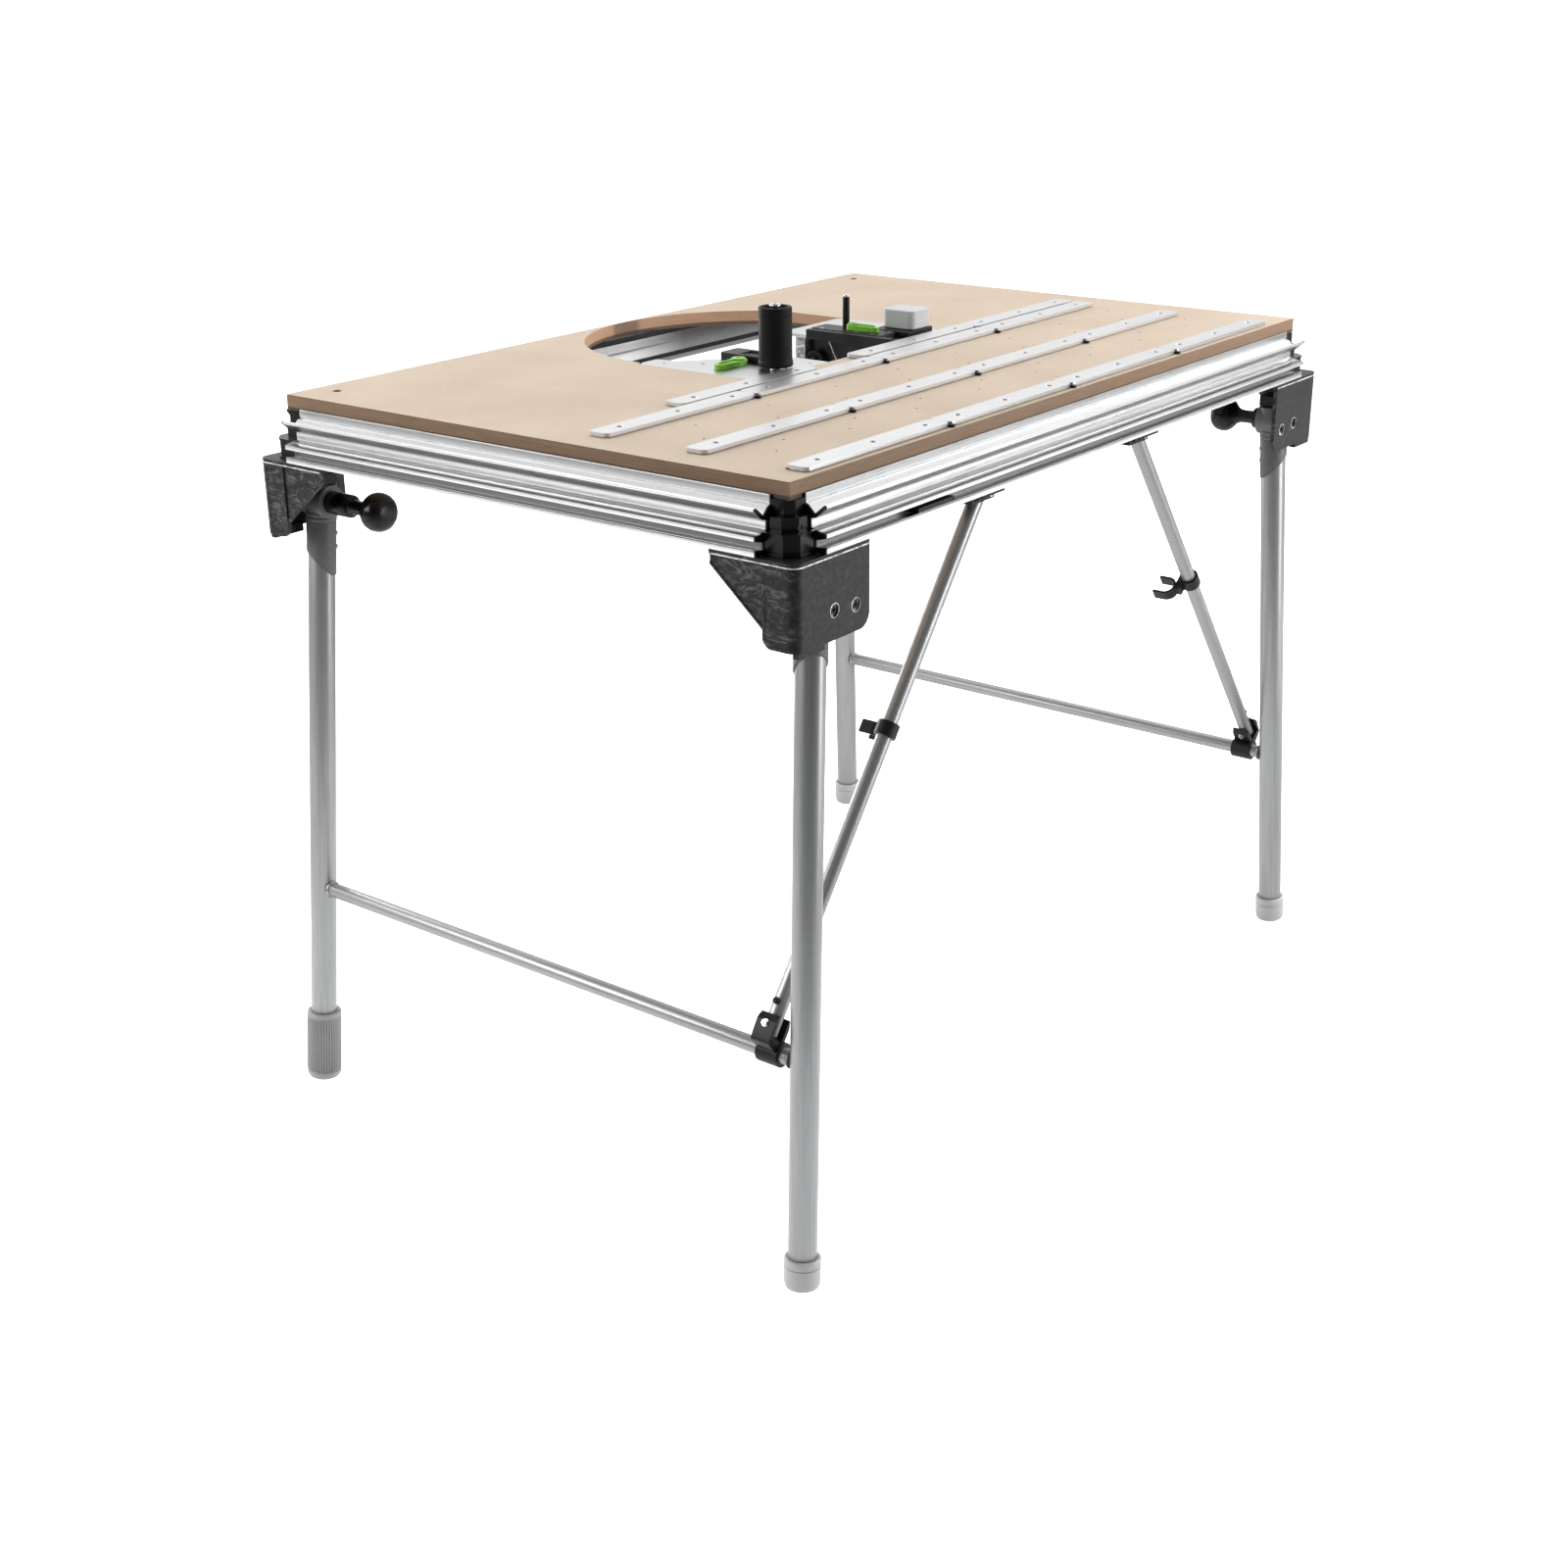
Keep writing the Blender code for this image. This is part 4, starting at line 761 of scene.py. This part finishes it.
def foot(sx, sy, body, name, outer, height, fluted):
    hinge, floor = leg_ends(sx, sy)
    up = (hinge - floor).normalized()
    dome, lip, sleeve = 0.04, 0.0015, TUBE_R + GAP
    centre_h = (dome - 0.0012) / up.z
    wall = [(outer - 0.0012, 0.0062), (outer, 0.0085)]
    if fluted:
        wall += [(outer, 0.012), (outer - 0.0006, 0.0125), (outer - 0.0006, 0.0132), (outer, 0.0138)]
        wall += [(outer, 0.0142), (outer, 0.086), (outer, 0.0885), (outer - 0.0005, 0.089), (outer, 0.0895)]
    else:
        seam = height - 0.0095
        wall += [(outer, seam - 0.0007), (outer - 0.0008, seam - 0.0004), (outer - 0.0008, seam + 0.0004)]
        wall += [(outer, seam + 0.0007)]
    wall += [(outer, height - lip), (outer - 0.35 * lip, height - 0.4 * lip), (outer - lip, height)]
    profile = [(0.0, centre_h - dome)]
    profile += [(dome * sin(radians(a)), centre_h - dome * cos(radians(a))) for a in (6, 12, 18, 24, 28)]
    profile += wall + [(sleeve, height), (sleeve, 0.01), (0.0, 0.01)]
    sides = 120 if fluted else 64
    bm = turned(profile, floor, up, sides)
    if fluted:
        upright = frame_along(floor, up)
        back = upright.inverted()
        for vert in bm.verts:
            local = back @ vert.co
            wall_here = 0.0141 < local.z < 0.0862 and local.xy.length > outer - GAP
            if wall_here and round(atan2(local.y, local.x) * sides / (2 * pi)) % 3 == 0:
                local.xy *= 1 - 0.0017 / outer
                vert.co = upright @ local
    below = bmesh.ops.bisect_plane(
        bm, geom=list(bm.verts) + list(bm.edges) + list(bm.faces),
        plane_co=(0, 0, 0), plane_no=(0, 0, 1), clear_inner=True)
    edges = [e for e in below["geom_cut"] if isinstance(e, bmesh.types.BMEdge)]
    bmesh.ops.edgeloop_fill(bm, edges=edges)
    bmesh.ops.recalc_face_normals(bm, faces=bm.faces)
    twin("moulded", name, face_out(bm), FLUTED if fluted else FOOT, body=body, sharp=30)


def crossbar(side, sx):
    end = leg_point(sx, 1, CROSSBAR_Z)
    half = end.y - TUBE_R - GAP - 0.0004
    body = side + "_legs"
    bar = eased([(0.0, -half), (CROSSBAR_R, -half), (CROSSBAR_R, half), (0.0, half)], 0.0004, 2, closed=False)
    obj = twin("round", side + "_crossbar", turned(bar), TUBE, body=body, sharp=30)
    obj.matrix_world = frame_along((end.x, 0.0, end.z), (0, 1, 0))
    for sy, end_name in ((-1, "front"), (1, "back")):
        ring = [(CROSSBAR_R + 0.0002, 0.0), (CROSSBAR_R + 0.0022, 0.0), (CROSSBAR_R + 0.0008, 0.003),
                (CROSSBAR_R + 0.0002, 0.0036)]
        place = (end.x, sy * half, end.z)
        piece(f"weld_{side}_{end_name}", turned(eased(ring, 0.0004, 2), place, (0, -sy, 0)), TUBE, body=body)


def fold_knob(side, sx, sy, spacer):
    start = HINGE_Y - KNUCKLE_HALF - GAP
    hub = [(0.0, 0.0), (0.0128, 0.0), (0.0134, 0.0006), (0.0134, 0.0074 + spacer), (0.0128, 0.008 + spacer)]
    grip = [
        (0.01, 0.0085), (0.009, 0.0105), (0.0084, 0.015), (0.0083, 0.022), (0.0086, 0.0275),
        (0.0098, 0.0315), (0.0122, 0.035), (0.0155, 0.038), (0.0188, 0.0412), (0.0213, 0.045),
        (0.0226, 0.0492), (0.0228, 0.053), (0.0222, 0.0575), (0.0205, 0.0618), (0.0175, 0.0652),
        (0.013, 0.0674), (0.007, 0.0684), (0.0, 0.0685)]
    profile = hub + [(r, h + spacer) for r, h in grip]
    name = side + "_fold_knob"
    knob = turned(profile, (sx * HINGE_X, sy * start, HINGE_Z), (0, -sy, 0), 72)
    twin("grip", name, knob, GLOSS, body=side + "_knob", sharp=50)


# ------------------------------------------------------------------ struts

def strut_frame(sx):
    """X along the strut, Y along its bolt, Z along the table's +Y."""
    rise = Vector((-sx * (BOLT_X - STRUT_TOP_X), 0.0, STRUT_TOP_Z - BOLT_Z)).normalized()
    bolt = Vector((sx * rise.z, 0.0, -sx * rise.x))
    turn = Matrix((rise, bolt, Vector((0.0, 1.0, 0.0)))).transposed().to_4x4()
    return Matrix.Translation((sx * BOLT_X, STRUT_Y, BOLT_Z)) @ turn


def strut_set(side, sx):
    place = strut_frame(sx)
    arm, clamp = side + "_strut_arm", side + "_clamp"
    end = STRUT_LENGTH + 0.017

    def put(bm):
        return face_out(moved(bm, place))

    bar = solid(
        lathe([(0.0, -0.01), (STRUT_R, -0.01), (STRUT_R, end), (0.0, end)], 0.0008, direction=(1, 0, 0)),
        (CUT, rod((0, -0.02, 0), (0, 0.02, 0), 0.0038)),
        (CUT, rod((0.026, 0.0016, 0), (0.026, 0.02, 0), 0.004)))
    twin("round", side + "_strut", put(bar), TUBE, body=arm, sharp=30)

    bar_axis = place.inverted() @ Vector((leg_point(sx, 1, CROSSBAR_Z).x, STRUT_Y, CROSSBAR_Z))
    half = 0.012
    cheeks = [(bar_axis.x - 0.004, -0.0152), (0.004, -0.0152), (0.0125, -0.01), (0.0125, 0.01),
              (0.004, 0.0152), (bar_axis.x + 0.004, 0.013)]
    at = bar_axis.xy
    holder = solid(
        prism(eased(cheeks, 0.003, 4), "Z", -half, half),
        (ADD, rod((*at, -half - 0.002), (*at, half + 0.002), 0.0138, 48)),
        (CUT, block((-0.0138, -0.0098, -0.03), (0.03, 0.0098, 0.03))),
        (CUT, rod((*at, -0.03), (*at, 0.03), CROSSBAR_R + GAP, 48)))
    name = side + "_strut_clamp"
    twin("moulded", name, put(holder), BLACK, body=clamp, bevel=0.0008)
    shank = rod((0, -0.014, 0), (0, 0.014, 0), 0.0034)
    piece(side + "_clamp_pin", put(shank), STEEL, body=clamp)
    head = hex_bolt((0.0, 0.0148, 0.0), (0, 1, 0), 0.0062, 0.003)
    piece(side + "_clamp_bolt", put(head), STEEL, body=clamp, bevel=0.0003)
    nut = hex_bolt((0.0, -0.0148, 0.0), (0, -1, 0), 0.0062, 0.003)
    piece(side + "_clamp_nut", put(nut), ZINC, body=clamp, bevel=0.0003)

    shift, reach = bar_axis.y, -bar_axis.x
    inner, outer, clip_half = CROSSBAR_R + 0.0012, CROSSBAR_R + 0.0045, 0.008
    mouth = reach + 0.014
    jaws = arc((shift, reach), outer, 180, 360, 20) + [(shift + outer, mouth), (shift + inner, mouth)]
    jaws += arc((shift, reach), inner, 360, 180, 20) + [(shift - inner, mouth), (shift - outer, mouth)]
    web = block((CLIP_AT - clip_half + 0.0015, shift - 0.002, 0.004),
                (CLIP_AT + clip_half - 0.0015, 0.004, reach - inner - 0.001))
    clip = solid(
        rod((CLIP_AT - clip_half, 0, 0), (CLIP_AT + clip_half, 0, 0), STRUT_R + 0.0035, 48),
        (ADD, web),
        (ADD, prism(jaws, "X", CLIP_AT - clip_half + 0.0006, CLIP_AT + clip_half - 0.0006)),
        (CUT, rod((CLIP_AT - 0.03, 0, 0), (CLIP_AT + 0.03, 0, 0), STRUT_R + GAP, 48)))
    twin("moulded", side + "_strut_clip", put(clip), BLACK, body=arm, bevel=0.0006)

    end_x = (place @ Vector((end, 0, 0))).x
    left, right = end_x - 0.036, end_x + 0.01
    outer_y, lip_y, front_y, inner_y = -0.36, -0.3545, -0.3465, STRUT_Y + 0.0105
    floor_z, shelf_z, top_z = 0.784, 0.7935, 0.7985
    hook = solid(
        block((left, front_y, floor_z), (right, inner_y, top_z)),
        (ADD, block((left, outer_y, shelf_z), (right, front_y + 0.003, top_z))),
        (ADD, block((left, outer_y, shelf_z), (right, lip_y, PROFILE_BOTTOM - 0.0022))),
        (CUT, block((left + 0.006, front_y - 0.01, 0.787), (left + 0.013, front_y + 0.0012, 0.7905))),
        (CUT, put(rod((0, 0, 0), (end + GAP, 0, 0), STRUT_R + GAP, 48))))
    twin("moulded", side + "_strut_hook", hook, BLACK, body=arm, bevel=0.0008)
    screw = star_screw((right - 0.006, front_y - 0.0001, 0.7885), (0, -1, 0), 0.003)
    piece(side + "_strut_hook_screw", screw, STEEL, body=arm, sharp=30)

    start = 0.0016 + 0.003 + GAP
    height = STRUT_R + 0.0044 - 0.0046
    button = eased([(0.0, 0.0), (0.0036, 0.0), (0.0036, height - 0.001), (0.0022, height), (0.0016, height),
                    (0.0012, height - 0.0006), (0.0, height - 0.0006)], 0.0005, 2, closed=False)
    button = put(turned(button, (0.026, start, 0), (0, 1, 0), 32))
    name = side + "_strut_button"
    twin("moulded", name, button, BLACK, body=side + "_button", sharp=40)


# ------------------------------------------------------------------ guide rails

def rail_segment(x0, y):
    """Bar with rounded ends, a softened top edge, an undercut foot and three countersunk holes."""
    half, length, foot_in, foot_h = RAIL_W / 2, RAIL_PITCH - 0.0004, 0.0013, 0.001
    bars = []
    for inset, lo, hi in ((foot_in, 0.0, foot_h + 0.0002), (0.0, foot_h, RAIL_H)):
        sides = corners(x0 + 0.0002 + inset, y - half + inset, x0 + length - inset, y + half - inset)
        bars.append(prism(eased(sides, 0.0075, 6), "Z", ON_TOP + lo, ON_TOP + hi))
    sinks = []
    for along in SCREW_PLACES:
        sink = [(0.0, 0.0008), (0.0024, 0.0008), (0.0024, 0.0026), (0.004, 0.0046), (0.004, 0.006),
                (0.0, 0.006)]
        sinks.append(turned(sink, (x0 + along, y, ON_TOP), (0, 0, 1), 24))
    at = rail_notch(x0, y)
    notch = rod((*at, ON_TOP - 0.001), (*at, ON_TOP + 0.01), NOTCH_R, 24)
    return solid(bars[0], (ADD, bars[1]), (CUT, merged(*sinks)), (CUT, notch))


def rail_notch(x0, y):
    return x0 + RAIL_PITCH - 0.0004, y - RAIL_W / 2 - 0.001


def rails():
    for name, start, count, y in RAIL_ROWS:
        starts = [start + k * RAIL_PITCH for k in range(count)]
        twin("bar", name, merged(*(rail_segment(x0, y) for x0 in starts)), RAIL, bevel=0.0006)
        screws = [star_screw((x0 + along, y, ON_TOP + 0.0038), (0, 0, 1), 0.0034)
                  for x0 in starts for along in SCREW_PLACES]
        piece(name + "_screws", merged(*screws), DARK_STEEL, sharp=30)
        plugs = []
        for x0 in starts[:-1]:
            at = rail_notch(x0, y)
            plugs.append(rod((*at, ON_TOP), (*at, ON_TOP + 0.0028), NOTCH_R - 0.001, 24))
        if plugs:
            piece(name + "_plugs", merged(*plugs), BLACK, sharp=30)


# ------------------------------------------------------------------ tool module

def screw_holes(*places, radius=0.0022):
    """Cuts for blind holes in the upper face of a plate."""
    return [(CUT, rod((*at, TOP_Z - 0.003), (*at, TOP_Z + 0.01), radius, 24)) for at in places]


def module():
    left, right, front = CUT_LEFT + GAP, CUT_RIGHT - GAP, CUT_FRONT + GAP
    adapter = eased([(left, front), (-0.045, front), (-0.045, 0.03), (-0.07, 0.06), (-0.146, 0.122),
                     (-0.15, 0.15), (-0.178, 0.15), (left, 0.143)], 0.003, 3)
    web = [(-0.176, -0.02), (-0.06, -0.02), (-0.06, 0.01), (-0.15, 0.11), (-0.176, 0.11)]
    holes = screw_holes((-0.165, 0.125), (-0.165, -0.02), (-0.062, -0.018))
    plate = solid(
        prism(adapter, "Z", TOP_Z - 0.006, TOP_Z),
        (ADD, prism(web, "Z", 0.846, TOP_Z - 0.005)),
        *holes, *screw_holes((-0.14, 0.085), radius=0.003))
    twin("milled", "adapter_plate", plate, PLATE, bevel=0.0005)
    carrier = [(0.088, front), (right, front), (right, 0.13), (0.205, 0.14), (0.088, 0.14)]
    plate = solid(
        prism(eased(carrier, 0.003, 3), "Z", TOP_Z - 0.004, TOP_Z),
        *screw_holes((0.15, 0.12), (0.2, 0.115), (0.15, 0.06), (0.205, -0.02)))
    twin("milled", "carrier_plate", plate, PLATE, bevel=0.0004)

    x, y = -0.116, -0.007
    spindle = [(0.0, 0.0), (0.006, 0.0), (0.006, 0.003), (0.004, 0.003), (0.004, 0.073),
               (0.0068, 0.073), (0.0068, 0.075), (0.005, 0.077), (0.0, 0.0772)]
    pocket = prism(arc((x, y), 0.0028, 0, 300, 5), "Z", ON_TOP + 0.0745, ON_TOP + 0.09)
    screw = solid(lathe(spindle, 0.0004, (x, y, ON_TOP)), (CUT, pocket))
    twin("turned", "roller_spindle", screw, STEEL, sharp=30)
    for k, angle in enumerate((200, 255, 310)):
        foot_at = (x + 0.013 * cos(radians(angle)), y + 0.013 * sin(radians(angle)))
        pin = eased([(0.0, 0.0), (0.0026, 0.0), (0.0026, 0.0032), (0.0, 0.0032)], 0.0003, 2, closed=False)
        piece(f"roller_base_pin_{k + 1}", turned(pin, (*foot_at, ON_TOP), (0, 0, 1), 24), STEEL)
    drum = eased([(0.0043, 0.0), (0.0205, 0.0), (0.021, 0.003), (0.0206, 0.0055), (0.02, 0.008),
                  (0.02, 0.058), (0.0196, 0.0584), (0.0196, 0.059), (0.02, 0.0594), (0.02, 0.0685),
                  (0.019, 0.0695), (0.0165, 0.0695), (0.015, 0.066), (0.0043, 0.066)], 0.0006, 3)
    drum = turned(drum, (x, y, ON_TOP + 0.0035), sides=72)
    twin("turned", "roller", drum, RUBBER, body="roller", sharp=40)

    arm = solid(
        prism(eased(corners(-0.108, 0.02, -0.072, 0.086), 0.006, 5), "Z", ON_TOP, 0.889),
        (CUT, block((-0.101, 0.03, 0.8865), (-0.079, 0.06, 0.9))))
    twin("moulded", "lever_arm", arm, BLACK, bevel=0.0008)
    stop = prism(eased(corners(0.096, -0.01, 0.13, 0.1), 0.004, 4), "Z", ON_TOP, 0.8881)
    twin("moulded", "stop_plate", stop, BLACK, bevel=0.0006)
    for k, (x, y) in enumerate(((0.101, 0.006), (0.101, 0.03), (0.101, 0.085), (0.125, -0.004))):
        piece(f"stop_screw_{k + 1}", star_screw((x, y, 0.8883), (0, 0, 1), 0.0026), STEEL, sharp=30)
    guard = [(0.0862, TOP_Z - 0.005), (0.0876, TOP_Z - 0.005), (0.0876, ON_TOP), (0.0955, ON_TOP),
             (0.0955, 0.8872), (0.0862, 0.8872)]
    piece("moulded_edge_guard", prism(guard, "Y", -0.03, 0.1), BLACK, bevel=0.0004)
    cam_lever("cam_lever_left", (-0.1215, 0.045), 0.043, 0.0105, 180, ON_TOP)
    cam_lever("cam_lever_right", (0.113, 0.045), 0.04, 0.008, 270, STOP_TOP)

    tall = [(0.0, 0.0), (0.0048, 0.0), (0.0045, 0.002), (0.0045, 0.0376), (0.0042, 0.038), (0.0, 0.038)]
    tall = solid(lathe(tall, 0.0004, (0.124, 0.0635, STOP_TOP)))
    twin("turned", "guide_pin", tall, BLACK, sharp=35)
    tip = [(0.0, 0.0), (0.0032, 0.0), (0.0032, 0.0024), (0.0022, 0.0035), (0.0, 0.0035)]
    tip = lathe(tip, 0.0004, (0.124, 0.0635, STOP_TOP + 0.038), sides=32)
    piece("guide_pin_tip", tip, STEEL)

    base = prism(eased(corners(0.1345, -0.024, 0.196, 0.03), 0.006, 4), "Z", ON_TOP, 0.888)
    twin("moulded", "block_base", base, BLACK, bevel=0.0008)
    cap = prism(eased(corners(0.15, -0.022, 0.192, 0.026), 0.009, 8), "Z", 0.8883, 0.912)
    twin("moulded", "cap_block", cap, CAP, bevel=0.0016, segments=4)


def cam_lever(name, centre, length, half, direction, low):
    """Faceted lever: round at its pivot with a screw, a raised rib towards its tip."""
    tip_half = half * 0.7
    outline = arc((0.0, 0.0), half, 90, 270, 14) + arc((length - tip_half, 0.0), tip_half, -80, 80, 8)
    rib = eased(corners(half * 0.9, -0.0013, length - 0.006, 0.0013), 0.001, 3)
    body = solid(
        prism(outline, "Z", 0.0, 0.0062),
        (ADD, prism(rib, "Z", 0.004, 0.0085)),
        (ADD, turned([(0.0, 0.0), (half * 0.82, 0.0), (half * 0.82, 0.008), (half * 0.7, 0.0085),
                      (0.0, 0.0085)], sides=32)),
        (CUT, rod((0, 0, 0.0062), (0, 0, 0.02), 0.0034)))
    place = Matrix.Translation((*centre, low)) @ Matrix.Rotation(radians(direction), 4, "Z")
    twin("moulded", name, moved(body, place), GREEN, body=name, bevel=0.0007)
    screw = socket_screw((*centre, low + 0.0081), (0, 0, 1), 0.003, 0.0018)
    piece(name + "_screw", screw, STEEL, body=name, sharp=30)


def tool_unit():
    ceiling = TOP_Z - 0.004 - GAP
    mount = solid(
        block((0.09, 0.1048, 0.828), (0.15, 0.118, ceiling)),
        (ADD, block((0.11, 0.11, 0.836), (0.118, 0.135, ceiling))))
    twin("cast", "tool_mount", mount, TOOL_CAST, bevel=0.0008, worn=WORN)
    hull = eased(corners(0.1, -0.028, 0.195, 0.1045), 0.01, 5)
    body = prism(hull, "Z", 0.828, ceiling)
    twin("moulded", "tool_body", body, BLACK, bevel=0.0012, segments=3)
    tread = [(0.0, -0.004), (0.0118, -0.004), (0.013, -0.003), (0.013, 0.003), (0.0118, 0.004),
             (0.0108, 0.004), (0.0104, 0.0028), (0.0056, 0.0028), (0.005, 0.005), (0.0036, 0.0062),
             (0.0, 0.0062)]
    slots = [rod((*at, 0.002), (*at, 0.02), 0.0019, 16) for at in arc((0.0, 0.0), 0.008, 0, 300, 5)]
    wheel = solid(lathe(tread, 0.0004), (CUT, merged(*slots)))
    obj = twin("moulded", "edge_wheel", wheel, RUBBER, body="edge_wheel", sharp=35)
    obj.matrix_world = frame_along((0.093, 0.088, 0.848), (-1, 0, 0))
    wire = rod((0.095, 0.07, 0.8745), (0.095, 0.048, 0.833), 0.0009, 12)
    twin("bent", "spring_wire", wire, STEEL)
    catch = block((-0.374, -HALF_Y - 0.0282, 0.8163), (-0.307, -HALF_Y - 0.0158, 0.821))
    twin("moulded", "profile_catch", catch, BLACK, bevel=0.0006)


# ------------------------------------------------------------------ assembly

table_board()
profiles()
painted_shadow_strips()
for sx, side in ((-1, "left"), (1, "right")):
    for sy, end in ((-1, "front"), (1, "back")):
        tag = side + "_" + end
        corner_block(tag, sx, sy)
        bracket(tag, sx, sy)
        leg_head(tag, sx, sy, side + "_legs")
        leg_tube(tag, sx, sy, side + "_legs")
        if tag == "left_back":
            foot(sx, sy, "levelling_foot", "levelling_foot", 0.0215, 0.094, True)
        else:
            foot(sx, sy, side + "_legs", "foot_cap_" + tag, 0.0203, 0.038, False)
    crossbar(side, sx)
    fold_knob(side, sx, -sx, 0.027 if side == "left" else 0.0)
    strut_set(side, sx)
rails()
module()
tool_unit()


# ------------------------------------------------------------------ floor, light, camera

def studio():
    floor = bpy.data.objects.new("floor", bpy.data.meshes.new("floor"))
    bm = bmesh.new()
    bmesh.ops.create_circle(bm, cap_ends=True, segments=96, radius=30.0)
    bm.to_mesh(floor.data)
    bm.free()
    white = (1.0, 1.0, 1.0, 1.0)
    look = Look("floor", (0.42, 0.42, 0.42), 0.0, 0.9, specular_ior_level=0.0, emission_color=white)
    seen = look.node("ShaderNodeLightPath").outputs["Is Camera Ray"]
    look.colour(look.mix(seen, (0.42, 0.42, 0.42), (0.92, 0.92, 0.92)))
    # Painted pool of light: for rays other than camera rays the floor is grey, and it glows around a point
    # under the left half of the table, fading out between 0.7 and 1.5 m from it, so it lights the table from
    # below. Camera rays see a white floor that glows evenly.
    spread = look.node("ShaderNodeVectorMath", {0: look.coords, 1: (-0.45, 0.0, 0.0)}, operation="DISTANCE")
    pool = look.node("ShaderNodeMapRange", {
        "Value": spread.outputs["Value"], "From Min": 0.7, "From Max": 1.5, "To Min": 0.9, "To Max": 0.0},
        interpolation_type="SMOOTHSTEP")
    glow = look.node("ShaderNodeMix", {0: seen, 2: pool.outputs["Result"], 3: 1.0})
    look.tree.links.new(glow.outputs[0], look.shader.inputs["Emission Strength"])
    floor.data.materials.append(look.material)
    floor.location.z = -0.0002
    bpy.context.scene.collection.objects.link(floor)

    world = bpy.data.worlds.new("studio")
    world.use_nodes = True
    bpy.context.scene.world = world
    tree = world.node_tree
    coords = add_node(tree, "ShaderNodeTexCoord").outputs["Generated"]
    along = add_node(tree, "ShaderNodeVectorMath", {0: coords, 1: (0.79, 0.61, 0.0)},
                     operation="DOT_PRODUCT")
    shade = add_node(tree, "ShaderNodeMapRange", {
        "Value": along.outputs["Value"], "From Min": -0.85, "From Max": 0.75, "To Min": 0.1, "To Max": 1.0},
        interpolation_type="SMOOTHSTEP")
    background = tree.nodes["Background"]
    background.inputs["Color"].default_value = white
    tree.links.new(shade.outputs["Result"], background.inputs["Strength"])
    backdrop = add_node(tree, "ShaderNodeBackground", {"Color": white, "Strength": 1.05})
    seen = add_node(tree, "ShaderNodeLightPath").outputs["Is Camera Ray"]
    chosen = add_node(tree, "ShaderNodeMixShader", {
        0: seen, 1: background.outputs[0], 2: backdrop.outputs[0]}).outputs[0]
    tree.links.new(chosen, tree.nodes["World Output"].inputs["Surface"])

    for name, place, size, power, aim in (
        ("left", (0.2, 3.3, 1.1), (1.3, 2.0), 70.0, (-0.3, 0.2, 0.4)),
        ("right", (1.1, -3.1, 0.9), (1.2, 1.8), 38.0, (0.1, -0.2, 0.4)),
        ("above", (0.9, 0.8, 2.9), (2.6, 2.6), 24.0, (0.1, 0.1, 0.85)),
        ("wash_right", (2.0, -1.9, 1.5), (2.2, 2.2), 120.0, (2.0, -1.9, 0.0)),
        ("wash_left", (-2.5, 1.6, 1.5), (2.2, 2.2), 110.0, (-2.5, 1.6, 0.0)),
    ):
        lamp = bpy.data.lights.new(name, "AREA")
        lamp.shape, lamp.energy = "RECTANGLE", power
        lamp.size, lamp.size_y = size
        obj = bpy.data.objects.new(name, lamp)
        obj.location = place
        obj.rotation_mode = "QUATERNION"
        obj.rotation_quaternion = (Vector(aim) - Vector(place)).to_track_quat("-Z", "Y")
        bpy.context.scene.collection.objects.link(obj)


def camera():
    azimuth, elevation, roll = radians(52.346), radians(-21.912), radians(-0.582)
    ahead = Vector((sin(azimuth) * cos(elevation), cos(azimuth) * cos(elevation), sin(elevation)))
    right = ahead.cross(Vector((0, 0, 1))).normalized()
    up = right.cross(ahead)
    right, up = right * cos(roll) + up * sin(roll), up * cos(roll) - right * sin(roll)
    data = bpy.data.cameras.new("camera")
    data.sensor_width, data.lens = 36.0, 48.75
    obj = bpy.data.objects.new("camera", data)
    turn = Matrix((right, up, -ahead)).transposed().to_4x4()
    obj.matrix_world = Matrix.Translation((-2.1116, -1.5529, 1.3636)) @ turn
    bpy.context.scene.collection.objects.link(obj)
    bpy.context.scene.camera = obj


studio()
camera()
bpy.context.scene.view_settings.view_transform = "Standard"

bpy.context.view_layer.update()
